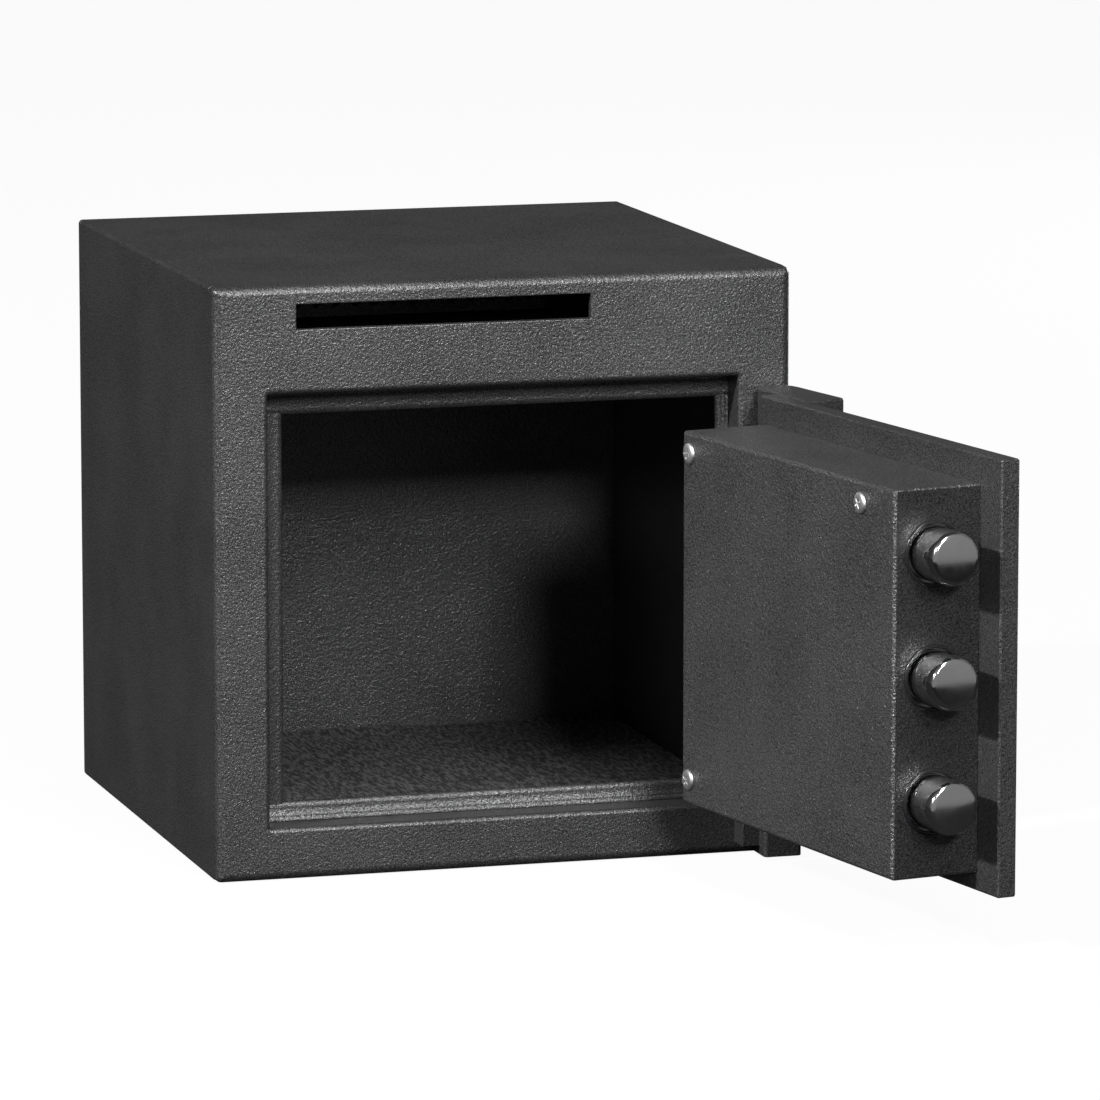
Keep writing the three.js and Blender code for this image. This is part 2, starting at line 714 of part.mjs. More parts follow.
const handleAt = [handleX, 0, handleZ];
const dialAt = [dialX, 0, dialZ];
const dialBoreRadius = DIAL_SPINDLE_RADIUS + PIN_FIT;

function doorPlate() {
  const plate = panned(door, DOOR_BEVEL, [
    [0, DOOR_BEVEL],
    [DOOR_BEVEL, 0],
    [DOOR_THICK - DOOR_BEVEL, 0],
    [DOOR_THICK, DOOR_BEVEL],
  ]);
  return cut(
    plate,
    rod("y", handleAt, SPINDLE_RADIUS + PIN_FIT, -1, DOOR_THICK + 1, SMALL),
    rod("y", dialAt, dialBoreRadius, -1, DOOR_THICK + 1, SMALL),
  );
}

const coverScrews = [
  [cover.right - SCREW_INSET, 0, cover.top - SCREW_INSET_Z],
  [cover.left + SCREW_INSET_FREE, 0, cover.top - SCREW_INSET_Z],
  [cover.right - SCREW_INSET, 0, cover.bottom + SCREW_INSET_LOW],
];

function lockCover() {
  const rim = DOOR_THICK + GAP;
  const face = cover.back - COVER_RADIUS;
  const edge = arc(0, 0, COVER_RADIUS, 0, 90).map(([u, v]) => [face + v, COVER_RADIUS - u]);
  const outer = panned(cover, COVER_CORNER, [[rim, 0], ...edge]);
  const hollow = box(
    cover.left + COVER_SHEET,
    cover.right - COVER_SHEET,
    rim - 1,
    cover.back - COVER_SHEET,
    cover.bottom + COVER_SHEET,
    cover.top - COVER_SHEET,
  );
  const boltHoles = boltHeights.map((z) =>
    rod("x", [cover.left, boltY, z], BOLT_RADIUS + BOLT_HOLE_ROOM, -1, COVER_SHEET + 1, ROUND),
  );
  const screwHoles = coverScrews.map((at) =>
    rod("y", at, SCREW_RADIUS + GAP, cover.back - COVER_SHEET - 1, cover.back + 1, SMALL),
  );
  return cut(outer, hollow, ...boltHoles, ...screwHoles);
}

function coverScrew(at) {
  const seat = cover.back + GAP;
  const top = seat + SCREW_HEAD_RISE;
  const dome = SCREW_HEAD_RISE - SCREW_HEAD_RIM;
  const head = [
    [0, seat - SCREW_GRIP],
    [SCREW_RADIUS, seat - SCREW_GRIP],
    [SCREW_RADIUS, seat],
    [SCREW_HEAD_RADIUS, seat],
    ...arc(SCREW_HEAD_RADIUS - dome, top - dome, dome, 0, 90),
    [0, top],
  ];
  return turned("y", at, head, SMALL);
}

function coverPost(at) {
  const end = cover.back - COVER_SHEET - GAP;
  const bar = rod("y", at, POST_RADIUS, DOOR_THICK + GAP, end, SMALL);
  return cut(bar, rod("y", at, SCREW_RADIUS + GAP, cover.back - SCREW_GRIP - 1, end + 1, SMALL));
}

// Boltwork

const flangeBack = flangeFront + BAR_THICK;
const lockBoltLeft = dialX - LOCK_BOLT_WIDTH / 2;

function bolt(z) {
  const inner = boltTip + BOLT_LENGTH;
  const tip = arc(BOLT_RADIUS - BOLT_TIP_RADIUS, BOLT_TIP_RADIUS, BOLT_TIP_RADIUS, 270, 360, 5);
  const profile = [
    [0, 0],
    ...tip,
    [BOLT_RADIUS, BOLT_LENGTH - BOLT_CHAMFER],
    [BOLT_RADIUS - BOLT_CHAMFER, BOLT_LENGTH],
    [0, BOLT_LENGTH],
  ];
  const body = turned("x", [boltTip, boltY, z], profile, FINE);
  const depth = BOLT_SCREW_GRIP - BAR_THICK - GAP + 1;
  return cut(body, rod("x", [inner, boltY, z], BOLT_SCREW_RADIUS + GAP, -depth, 1, SMALL));
}

function boltScrew(z) {
  const head = GAP;
  const top = head + BOLT_SCREW_HEAD;
  const profile = [
    [0, head - BOLT_SCREW_GRIP],
    [BOLT_SCREW_RADIUS, head - BOLT_SCREW_GRIP],
    [BOLT_SCREW_RADIUS, head],
    [BOLT_SCREW_HEAD, head],
    [BOLT_SCREW_HEAD, top - BOLT_SCREW_CHAMFER],
    [BOLT_SCREW_HEAD - BOLT_SCREW_CHAMFER, top],
    [0, top],
  ];
  return turned("x", [flangeBack, boltY, z], profile, SMALL);
}

// Bent bar that carries the bolts: a flange behind them and a web that the crank pin and stud run in.
function boltBar() {
  const low = boltHeights[0] - BOLT_RADIUS - BAR_MARGIN;
  const high = boltHeights[BOLT_COUNT - 1] + BOLT_RADIUS + BAR_MARGIN;
  const flange = box(flangeFront, flangeBack, webFront, boltY + BOLT_RADIUS + BAR_MARGIN, low, high);
  const webEnd = lockBoltLeft - CRANK_PIN_ROOM;
  const webBack = webFront + BAR_THICK;
  const web = box(flangeBack - 1, webEnd, webFront, webBack, handleZ - WEB_BELOW, handleZ + WEB_ABOVE);
  const pinX = handleX - THROW / 2;
  const pinLow = handleZ + Math.sqrt(crankRadius ** 2 - (THROW / 2) ** 2);
  const half = CRANK_PIN_RADIUS + CRANK_PIN_ROOM;
  const pinSlot = prism(
    "y",
    roundedSlot(pinX - half, pinX + half, pinLow - half, handleZ + crankRadius + half),
    webFront - 1,
    webBack + 1,
  );
  const studHalf = STUD_RADIUS + GAP;
  const studX = handleX - STUD_BESIDE;
  const studZ = handleZ - STUD_BELOW;
  const studSlot = prism(
    "y",
    roundedSlot(studX - THROW - studHalf - GAP, studX + studHalf + GAP, studZ - studHalf, studZ + studHalf),
    webFront - 1,
    webBack + 1,
  );
  const screwHoles = boltHeights.map((z) =>
    rod("x", [flangeFront, boltY, z], BOLT_SCREW_RADIUS + GAP, -1, BAR_THICK + 1, SMALL),
  );
  return cut(join(flange, web), pinSlot, studSlot, ...screwHoles);
}

function boltGuide() {
  const left = cover.left + COVER_SHEET + GUIDE_BEHIND;
  const low = boltHeights[0] - BOLT_RADIUS - GUIDE_MARGIN;
  const high = boltHeights[BOLT_COUNT - 1] + BOLT_RADIUS + GUIDE_MARGIN;
  const plate = box(left, left + GUIDE_THICK, DOOR_THICK + GAP, DOOR_THICK + GAP + GUIDE_DEPTH, low, high);
  const bores = boltHeights.map((z) =>
    rod("x", [left, boltY, z], BOLT_RADIUS + GAP, -1, GUIDE_THICK + 1, FINE),
  );
  return cut(plate, ...bores);
}

function barStud() {
  const shoulder = webFront + BAR_THICK + GAP;
  const profile = [
    [0, DOOR_THICK + GAP],
    [STUD_RADIUS, DOOR_THICK + GAP],
    [STUD_RADIUS, shoulder],
    [STUD_HEAD_RADIUS, shoulder],
    [STUD_HEAD_RADIUS, shoulder + STUD_HEAD_RISE],
    [0, shoulder + STUD_HEAD_RISE],
  ];
  return turned("y", [handleX - STUD_BESIDE, 0, handleZ - STUD_BELOW], profile, SMALL);
}

// Handle

const crankFront = DOOR_THICK + CRANK_STANDOFF;
const crankBack = crankFront + CRANK_THICK;

function handleRose() {
  const bore = SPINDLE_RADIUS + PIN_FIT;
  const profile = [
    [bore, -GAP],
    [ROSE_RADIUS, -GAP],
    ...arc(ROSE_RADIUS - ROSE_ROUND, -GAP - ROSE_THICK + ROSE_ROUND, ROSE_ROUND, 0, -90),
    [bore, -GAP - ROSE_THICK],
    [bore, -GAP],
  ];
  return turned("y", handleAt, profile, ROUND);
}

// Cast lever: a waisted hub turned about the spindle and an oval blade that sweeps back at its end.
function handleLever() {
  const foot = -ROSE_THICK - 2 * GAP;
  const bladeY = -HUB_OUT + LEVER_DEPTH + LEVER_SET;
  const bore = SPINDLE_RADIUS + GAP;
  const hub = turned(
    "y",
    handleAt,
    [
      [0, foot],
      [HUB_RADIUS, foot],
      [HUB_RADIUS - HUB_WAIST * 0.75, foot - HUB_FLARE],
      [HUB_RADIUS - HUB_WAIST, (foot + bladeY) / 2],
      [HUB_RADIUS - HUB_WAIST / 4, bladeY + LEVER_DEPTH],
      [HUB_RADIUS, bladeY],
      [HUB_RADIUS - HUB_CROWN / 2, -HUB_OUT + HUB_CROWN / 3],
      [HUB_RADIUS - HUB_CROWN, -HUB_OUT],
      [0, -HUB_OUT],
    ],
    ROUND,
  );
  const rings = [];
  for (let i = 0; i <= LEVER_STEPS; i += 1) {
    const t = i / LEVER_STEPS;
    const end = i === LEVER_STEPS ? LEVER_END_SHARE : 1;
    const middle = Math.sin(Math.PI * t);
    const height = (LEVER_ROOT + (LEVER_TIP - LEVER_ROOT) * t + LEVER_SWELL * middle ** 2) * end;
    const depth = (LEVER_DEPTH - LEVER_SWELL * middle) * end;
    const x = handleX + t * LEVER_LENGTH;
    const y = bladeY + LEVER_SWEEP * t ** 2.5;
    rings.push(
      arc(0, 0, 1, 0, 360, SMALL)
        .slice(0, SMALL)
        .map(([u, v]) => new THREE.Vector3(x, y + u * depth, handleZ + v * height)),
    );
  }
  return cut(join(hub, loft(rings)), rod("y", handleAt, bore, -HUB_OUT + HUB_WALL, foot + 1, SMALL));
}

function handleSpindle() {
  return rod("y", handleAt, SPINDLE_RADIUS, -HUB_OUT + HUB_WALL + GAP, crankBack + GAP * 2, SMALL);
}

// Crank on the spindle: a hub and a lobe joined by their common tangents, with the pin on the lobe.
function crank() {
  const lobeX = -THROW / 2;
  const lobeZ = Math.sqrt(crankRadius ** 2 - lobeX ** 2);
  const lean = (Math.atan2(lobeZ, lobeX) * 180) / Math.PI;
  const spread = (Math.acos((CRANK_HUB_RADIUS - CRANK_LOBE_RADIUS) / crankRadius) * 180) / Math.PI;
  const outline = [
    ...arc(lobeX, lobeZ, CRANK_LOBE_RADIUS, lean - spread, lean + spread, 10),
    ...arc(0, 0, CRANK_HUB_RADIUS, lean + spread, lean + 360 - spread, 14),
  ].map(([x, z]) => [handleX + x, handleZ + z]);
  const plate = prism("y", outline, crankFront, crankBack);
  const pinEnd = webFront + BAR_THICK + CRANK_PIN_BEYOND;
  const pinAt = [handleX + lobeX, 0, handleZ + lobeZ];
  const pin = rod("y", pinAt, CRANK_PIN_RADIUS, crankFront + 1, pinEnd, SMALL);
  const bore = rod("y", handleAt, SPINDLE_RADIUS + GAP, crankFront - 1, crankBack + 1, SMALL);
  return cut(join(plate, pin), bore);
}

// Dial lock

function dialRing() {
  const top = -GAP - DIAL_RING_THICK;
  const seat = top + DIAL_SEAT;
  const profile = [
    [DIAL_RING_BORE, -GAP],
    [DIAL_RING_RADIUS, -GAP],
    [DIAL_RING_RADIUS, top + DIAL_RING_BEVEL],
    [DIAL_RING_RADIUS - DIAL_RING_BEVEL, top],
    [DIAL_RADIUS + 2 * DIAL_ROOM, top],
    [DIAL_RADIUS + DIAL_ROOM, seat],
    [DIAL_RING_BORE, seat],
    [DIAL_RING_BORE, -GAP],
  ];
  return turned("y", dialAt, profile, FINE);
}

const dialBack = -2 * GAP - DIAL_RING_THICK + DIAL_SEAT;

// Dial: a coned disc and a fluted grip.
function dialKnob() {
  const front = dialBack - DIAL_THICK;
  const disc = turned(
    "y",
    dialAt,
    [
      [0, dialBack],
      [DIAL_RADIUS, dialBack],
      [DIAL_RADIUS, front + DIAL_CONE],
      [GRIP_RADIUS + GRIP_FOOT, front],
      [0, front],
    ],
    FINE,
  );
  const ring = (y, shrink) => {
    const points = [];
    for (let i = 0; i < GRIP_FLUTES * 4; i += 1) {
      const angle = (2 * Math.PI * i) / (GRIP_FLUTES * 4);
      const radius = GRIP_RADIUS - shrink - GRIP_FLUTE_DEPTH * (i % 4 === 0 ? 1 : i % 2 === 0 ? 0 : 0.3);
      points.push(new THREE.Vector3(dialX + radius * Math.cos(angle), y, dialZ + radius * Math.sin(angle)));
    }
    return points;
  };
  const top = front - GRIP_RISE;
  const grip = loft([ring(front + 1, -1), ring(top + GRIP_CROWN, 0), ring(top, GRIP_CROWN)]);
  const bore = rod("y", dialAt, DIAL_SPINDLE_RADIUS + GAP, front - SPINDLE_IN_GRIP, dialBack + 1, SMALL);
  return cut(join(disc, grip), bore);
}

function dialSpindle() {
  const from = dialBack - DIAL_THICK - SPINDLE_IN_GRIP + GAP;
  return rod("y", dialAt, DIAL_SPINDLE_RADIUS, from, lockFront + LOCK_DEPTH - LOCK_BACK_WALL - 1, SMALL);
}

const lockCase = {
  left: dialX - LOCK_WIDTH / 2,
  right: dialX + LOCK_WIDTH / 2,
  bottom: lockBottom,
  top: lockBottom + LOCK_HEIGHT,
};

function hardPlate() {
  const from = DOOR_THICK + GAP;
  const plate = box(
    lockCase.left - HARD_PLATE_MARGIN,
    lockCase.right + HARD_PLATE_MARGIN,
    from,
    from + HARD_PLATE_THICK,
    lockCase.bottom - HARD_PLATE_MARGIN,
    lockCase.top + HARD_PLATE_MARGIN,
  );
  const bore = rod("y", dialAt, dialBoreRadius, from - 1, from + HARD_PLATE_THICK + 1, SMALL);
  return cut(plate, bore);
}

const lockBoltFront = lockFront + LOCK_BOLT_SETBACK;
const lockBack = lockFront + LOCK_DEPTH;

// Lock case: bored for the spindle and cut for the drawn bolt.
function lockBody() {
  const block = panned(lockCase, LOCK_CORNER, [
    [lockFront, 0],
    [lockBack - LID_INSET, 0],
    [lockBack, LID_INSET],
  ]);
  const pocket = box(
    lockBoltLeft - GAP,
    lockBoltLeft + LOCK_BOLT_WIDTH + GAP,
    lockBoltFront - GAP,
    lockBoltFront + LOCK_BOLT_DEPTH + GAP,
    lockBottom - 1,
    lockBottom + LOCK_BOLT_INSIDE + GAP,
  );
  const bore = rod("y", dialAt, dialBoreRadius, lockFront - 1, lockBack - LOCK_BACK_WALL, SMALL);
  return cut(block, pocket, bore);
}

function lockLid() {
  const from = lockBack + GAP;
  return panned(lockCase, LOCK_CORNER, [
    [from, LID_INSET],
    [from + LID_THICK - LID_CHAMFER, LID_INSET],
    [from + LID_THICK, LID_INSET + LID_CHAMFER],
  ]);
}

function lockBolt() {
  const bottom = lockBottom - LOCK_BOLT_SHOW;
  return box(
    lockBoltLeft,
    lockBoltLeft + LOCK_BOLT_WIDTH,
    lockBoltFront,
    lockBoltFront + LOCK_BOLT_DEPTH,
    bottom,
    lockBottom + LOCK_BOLT_INSIDE,
  );
}

// Assembly

const safe = new THREE.Group();
const shell = new THREE.Group();
shell.position.y = -DEPTH / 2;
safe.add(shell);

place(shell, "body_wrap", bodyWrap(), paint);
place(shell, "back_panel", backPanel(), paint);
place(shell, "front_frame", frontFrame(), paint);
place(shell, "stop_header", levelStop(recess.top, doorway.top), paint);
place(shell, "stop_sill", levelStop(recess.bottom, doorway.bottom), paint);
place(shell, "stop_left", uprightStop(recess.left, doorway.left), paint);
place(shell, "stop_right", uprightStop(recess.right, doorway.right), paint);
place(shell, "chute_tray", chuteTray(), darkPaint);
place(shell, "fish_baffle", fishBaffle(), darkPaint);
place(shell, "floor_board", floorPiece(WALL, boardTop, true), board);
place(shell, "floor_carpet", floorPiece(boardTop, boardTop + CARPET_THICK, false), carpet);

const hinges = [
  { side: "upper", bottom: upperBlockTop - UPPER_BLOCK_HEIGHT, top: upperBlockTop, arm: UPPER_ARM_HEIGHT },
  { side: "lower", bottom: LOWER_BLOCK_BOTTOM, top: lowerBlockTop, arm: LOWER_ARM_HEIGHT },
];
for (const { side, bottom, top } of hinges) {
  place(shell, `hinge_block_${side}`, hingeBlock(bottom, top), paint);
  place(shell, `hinge_pin_${side}`, hingePin(top), steel);
  place(shell, `hinge_washer_${side}`, hingeWasher(top), brass);
}

const swing = new THREE.Group();
swing.position.set(pivotX, -PIVOT_OUT, 0);
swing.rotation.z = THREE.MathUtils.degToRad(OPEN_ANGLE);
shell.add(swing);
const leaf = new THREE.Group();
leaf.position.set(-pivotX, PIVOT_OUT, 0);
swing.add(leaf);

place(leaf, "door_plate", doorPlate(), paint);
for (const { side, top, arm } of hinges) {
  const bottom = top + WASHER_THICK + GAP;
  place(leaf, `hinge_arm_${side}`, hingeArm(bottom, bottom + arm), paint);
}
place(leaf, "lock_cover", lockCover(), paint);
coverScrews.forEach((at, i) => {
  place(leaf, `cover_screw_${i + 1}`, coverScrew(at), zinc);
  place(leaf, `cover_post_${i + 1}`, coverPost(at), steel);
});
place(leaf, "bolt_guide", boltGuide(), steel);
place(leaf, "bar_stud", barStud(), steel);
place(leaf, "hard_plate", hardPlate(), steel);
place(leaf, "lock_body", lockBody(), diecast);
place(leaf, "lock_lid", lockLid(), diecast);
place(leaf, "lock_bolt", lockBolt(), brass);
place(leaf, "dial_ring", dialRing(), chrome);
place(leaf, "handle_rose", handleRose(), chrome);

boltHeights.forEach((z, i) => {
  place(leaf, `bolt_${i + 1}`, bolt(z), chrome);
  place(leaf, `bolt_screw_${i + 1}`, boltScrew(z), zinc);
});
place(leaf, "bolt_bar", boltBar(), steel);

place(leaf, "handle_lever", handleLever(), chrome);
place(leaf, "handle_spindle", handleSpindle(), steel);
place(leaf, "crank", crank(), steel);

place(leaf, "dial_knob", dialKnob(), black);
place(leaf, "dial_spindle", dialSpindle(), brass);

export default safe;
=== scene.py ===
"""Looks for the deposit safe: hammered paint, chromed bolts, dial lock, carpet, studio and camera."""

import json
import math

import bmesh
import bpy
from mathutils import Matrix, Vector, noise


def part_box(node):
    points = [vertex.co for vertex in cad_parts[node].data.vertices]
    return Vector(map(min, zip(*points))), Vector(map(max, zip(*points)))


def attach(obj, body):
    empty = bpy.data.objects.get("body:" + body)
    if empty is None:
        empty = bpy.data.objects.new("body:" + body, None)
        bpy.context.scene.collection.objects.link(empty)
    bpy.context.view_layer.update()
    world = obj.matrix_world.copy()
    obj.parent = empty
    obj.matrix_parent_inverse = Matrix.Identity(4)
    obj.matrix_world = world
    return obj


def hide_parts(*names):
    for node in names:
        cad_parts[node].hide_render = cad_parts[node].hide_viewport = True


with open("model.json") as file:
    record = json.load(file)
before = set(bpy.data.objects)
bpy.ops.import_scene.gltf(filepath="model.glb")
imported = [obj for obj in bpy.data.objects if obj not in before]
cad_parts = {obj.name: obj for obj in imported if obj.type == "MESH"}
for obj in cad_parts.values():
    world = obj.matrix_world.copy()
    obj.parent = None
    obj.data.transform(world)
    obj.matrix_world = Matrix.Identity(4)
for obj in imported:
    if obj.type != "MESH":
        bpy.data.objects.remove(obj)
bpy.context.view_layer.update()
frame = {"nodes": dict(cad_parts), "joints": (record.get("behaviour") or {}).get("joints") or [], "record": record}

MM = 0.001
nodes = frame["nodes"]
record_slots = {part["node"]: part["material_slot"] for part in frame["record"]["subparts"]}
joints = {joint["name"]: joint for joint in frame["joints"]}

# The door's own pieces are drawn as if it were shut, and DOOR_TURN swings them to where it stands
PIVOT = Vector(joints["door_swing"]["pos_m"])
OPEN_ANGLE = math.radians(-joints["door_swing"]["range_deg"][0])
DOOR_TURN = (
    Matrix.Translation(PIVOT) @ Matrix.Rotation(OPEN_ANGLE, 4, "Z") @ Matrix.Translation(-PIVOT)
)


# Shader helpers

MIDDLE = (0.3, 0.7)  # the part of a noise's values that holds nearly all of them


class Shader:
    """A small builder for one material's nodes."""

    def __init__(self, name):
        self.material = bpy.data.materials.new(name)
        self.material.use_nodes = True
        self.tree = self.material.node_tree
        self.tree.nodes.clear()
        self.output = self.add("ShaderNodeOutputMaterial")
        self.bsdf = self.add("ShaderNodeBsdfPrincipled")
        self.link(self.bsdf.outputs["BSDF"], self.output.inputs["Surface"])
        self.position = self.add("ShaderNodeTexCoord").outputs["Object"]

    def add(self, kind, **settings):
        node = self.tree.nodes.new(kind)
        for key, value in settings.items():
            setattr(node, key, value)
        return node

    def link(self, source, target):
        self.tree.links.new(source, target)

    def set(self, **values):
        """Sets constant values on the shader's own sockets."""
        for key, value in values.items():
            self.bsdf.inputs[key.replace("_", " ")].default_value = value

    def noise(self, scale, detail=2.0, rough=0.5, stretch=None, seed=0.0):
        node = self.add("ShaderNodeTexNoise", noise_dimensions="4D")
        node.inputs["Scale"].default_value = scale
        node.inputs["Detail"].default_value = detail
        node.inputs["Roughness"].default_value = rough
        node.inputs["W"].default_value = seed
        self.link(self.stretched(stretch), node.inputs["Vector"])
        return node.outputs["Fac"]

    def stretched(self, stretch):
        if stretch is None:
            return self.position
        node = self.add("ShaderNodeMapping")
        node.inputs["Scale"].default_value = stretch
        self.link(self.position, node.inputs["Vector"])
        return node.outputs["Vector"]

    def ramp(self, value, start=0.0, end=1.0, span=MIDDLE):
        """Spreads the span of a value smoothly from start to end."""
        node = self.add("ShaderNodeMapRange", interpolation_type="SMOOTHSTEP")
        for key, number in zip(("From Min", "From Max", "To Min", "To Max"), (*span, start, end)):
            node.inputs[key].default_value = number
        self.link(value, node.inputs["Value"])
        return node.outputs["Result"]

    def math(self, operation, first, second):
        node = self.add("ShaderNodeMath", operation=operation)
        for socket, value in zip(node.inputs, (first, second)):
            feed(self.tree, socket, value)
        return node.outputs["Value"]

    def blend(self, factor, first, second):
        """Mixes two colours by a factor."""
        node = self.add("ShaderNodeMix", data_type="RGBA")
        self.link(factor, node.inputs["Factor"])
        node.inputs[6].default_value = (*first, 1.0)
        node.inputs[7].default_value = (*second, 1.0)
        return node.outputs[2]

    def bump(self, height, distance):
        node = self.add("ShaderNodeBump")
        node.inputs["Distance"].default_value = distance
        self.link(height, node.inputs["Height"])
        return node.outputs["Normal"]

    def finish(self, colour, roughness, normal):
        self.link(colour, self.bsdf.inputs["Base Color"])
        self.link(roughness, self.bsdf.inputs["Roughness"])
        self.link(normal, self.bsdf.inputs["Normal"])
        return self.material


def feed(tree, socket, value):
    """Sets a socket to a number or links it to another node's output."""
    if isinstance(value, (int, float)):
        socket.default_value = value
    else:
        tree.links.new(value, socket)


def grey(level):
    """A grey with a trace of blue."""
    return (level, level, level * 1.01)


# Materials: noise scales are features to the metre, bump heights are metres

GRAIN = 540.0
FINE_GRAIN = GRAIN * 2.3
GRAIN_RELIEF = 0.75  # share of the relief that the grain makes, and the fine grain makes the rest
FINE_TONE = 0.86  # share of the tone that the fine grain makes, and faint clouds make the rest
PAINT_ROUGH = (0.34, 0.38)


def hammered_paint(name, dark, light, depth, specular=0.5):
    """Hammered enamel between two greys; depth is the height of its grain."""
    s = Shader(name)
    s.set(Metallic=0.65, IOR=1.5, Specular_IOR_Level=specular)
    marks = s.noise(GRAIN, 2.0, 0.6)
    fine = s.noise(FINE_GRAIN, 1.0, 0.5, seed=7.0)
    relief = (s.math("MULTIPLY", marks, GRAIN_RELIEF), s.math("MULTIPLY", fine, 1 - GRAIN_RELIEF))
    height = s.math("ADD", *relief)
    wear = s.noise(9.0, 3.0, 0.5, seed=4.0)
    cloud = s.noise(16.0, 2.0, 0.5, seed=11.0)
    tone = s.math("ADD", s.ramp(fine, 0.0, FINE_TONE), s.ramp(cloud, 0.0, 1 - FINE_TONE))
    colour = s.blend(tone, grey(dark), grey(light))
    return s.finish(colour, s.ramp(wear, *PAINT_ROUGH), s.bump(height, depth))


def chrome():
    """Polished plate with faint turning marks and smudges."""
    s = Shader("chrome_plate")
    s.set(Metallic=1.0)
    turning = s.noise(900.0, 1.0, 0.5, stretch=(0.02, 0.02, 1.0))
    smudge = s.noise(38.0, 3.0, 0.6, seed=2.0)
    colour = s.blend(s.ramp(smudge, span=(0.35, 0.7)), (0.74, 0.74, 0.75), (0.84, 0.84, 0.85))
    return s.finish(colour, s.ramp(smudge, 0.08, 0.14), s.bump(turning, 0.000003))


def brushed(name, dark, light, rough, metallic=1.0, scale=220.0):
    """Two tones in soft clouds, under fine brush marks that vary the roughness."""
    s = Shader(name)
    s.set(Metallic=metallic)
    brush = s.noise(scale, 3.0, 0.6, stretch=(1.0, 1.0, 0.12))
    cloud = s.noise(24.0, 2.0, 0.5, seed=1.0)
    colour = s.blend(s.ramp(cloud), dark, light)
    return s.finish(colour, s.ramp(brush, *rough), s.bump(brush, 0.00003))


def carpet_fibre():
    """Needle felt: dark pile with lighter flecks along its length."""
    s = Shader("carpet_fibre")
    s.set(Metallic=0.0)
    tuft = s.noise(800.0, 2.0, 0.7, stretch=(1.0, 0.4, 1.0))
    fleck = s.noise(520.0, 2.0, 0.7, stretch=(1.0, 0.22, 1.0), seed=3.0)
    colour = s.blend(s.ramp(fleck, span=(0.40, 0.66)), grey(0.03), grey(0.19))
    return s.finish(colour, s.ramp(tuft, 0.9, 1.0), s.bump(tuft, 0.0006))


def plank():
    """Plain wood with its grain along Y."""
    s = Shader("floor_board")
    grain = s.noise(60.0, 4.0, 0.6, stretch=(1.0, 0.08, 1.0))
    colour = s.blend(s.ramp(grain), (0.16, 0.10, 0.06), (0.33, 0.22, 0.13))
    return s.finish(colour, s.ramp(grain, 0.65, 0.85), s.bump(grain, 0.0002))


# Lit and shaded copies of the body's paint for the lock cover: a lighter front is painted light, and a darker
# side, set per face below, is painted shade
cover_lit_paint = hammered_paint("cover_lit_paint", 0.03, 0.215, 0.0013)
cover_side_shaded_paint = hammered_paint("cover_side_shaded_paint", 0.015, 0.095, 0.0006)
dial_white = brushed("dial_white", (0.70, 0.70, 0.68), (0.80, 0.80, 0.78), (0.45, 0.6), 0.0)

SLOT_MATERIALS = {
    "paint": hammered_paint("hammered_paint", 0.03, 0.165, 0.00065),
    # Paint inside the slot: its own dark coat, darkened further to near black with little shine as painted shade
    # in the slot
    "dark_paint": hammered_paint("inner_painted_shade", 0.004, 0.008, 0.0004, 0.05),
    "chrome": chrome(),
    "steel": brushed("machined_steel", (0.42, 0.42, 0.43), (0.56, 0.56, 0.57), (0.28, 0.42)),
    "zinc": brushed("zinc_plate", (0.58, 0.58, 0.58), (0.72, 0.72, 0.72), (0.42, 0.54)),
    "brass": brushed("turned_brass", (0.62, 0.45, 0.20), (0.76, 0.58, 0.30), (0.22, 0.34)),
    "diecast": brushed("die_cast", (0.34, 0.35, 0.36), (0.46, 0.47, 0.48), (0.42, 0.58), 0.9, 500.0),
    "black": brushed("gloss_black", (0.012, 0.012, 0.013), (0.02, 0.02, 0.021), (0.18, 0.26), 0.0),
    "board": plank(),
    "carpet": carpet_fibre(),
}
NODE_MATERIALS = {"lock_cover": cover_lit_paint}


# Dressing the CAD nodes: welded corners, small real edge radii and smooth rounds

EDGE_WIDTH = {"paint": 0.55, "dark_paint": 0.2, "steel": 0.3, "board": 0.6}
OTHER_EDGE_WIDTH = 0.25
NODE_EDGE_WIDTH = {"lock_cover": 0.72}
EDGE_SEGMENTS = 3
EDGE_ANGLE = math.radians(32)  # sharper corners get an edge radius
WELD_REACH = 0.002
FLAT_ANGLE = math.radians(0.6)
SIDE_FACING = 0.9  # cosine of how far a face may turn from the cover's side
SHARP_ANGLE = math.radians(34)  # sharper corners of the scene's own pieces stay sharp


def dress(name):
    node = nodes[name]
    slot = record_slots[name]
    node.data.materials.clear()
    node.data.materials.append(NODE_MATERIALS.get(name) or SLOT_MATERIALS[slot])
    node.data.attributes.remove(node.data.attributes["custom_normal"])
    node.data.polygons.foreach_set("use_smooth", [True] * len(node.data.polygons))
    weld = node.modifiers.new("weld", "WELD")
    weld.merge_threshold = WELD_REACH * MM
    flat = node.modifiers.new("flat", "DECIMATE")
    flat.decimate_type = "DISSOLVE"
    flat.angle_limit = FLAT_ANGLE
    edge = node.modifiers.new("edge", "BEVEL")
    edge.width = NODE_EDGE_WIDTH.get(name, EDGE_WIDTH.get(slot, OTHER_EDGE_WIDTH)) * MM
    edge.segments = EDGE_SEGMENTS
    edge.limit_method = "ANGLE"
    edge.angle_limit = EDGE_ANGLE
    shade = node.modifiers.new("shade", "WEIGHTED_NORMAL")
    shade.keep_sharp = True


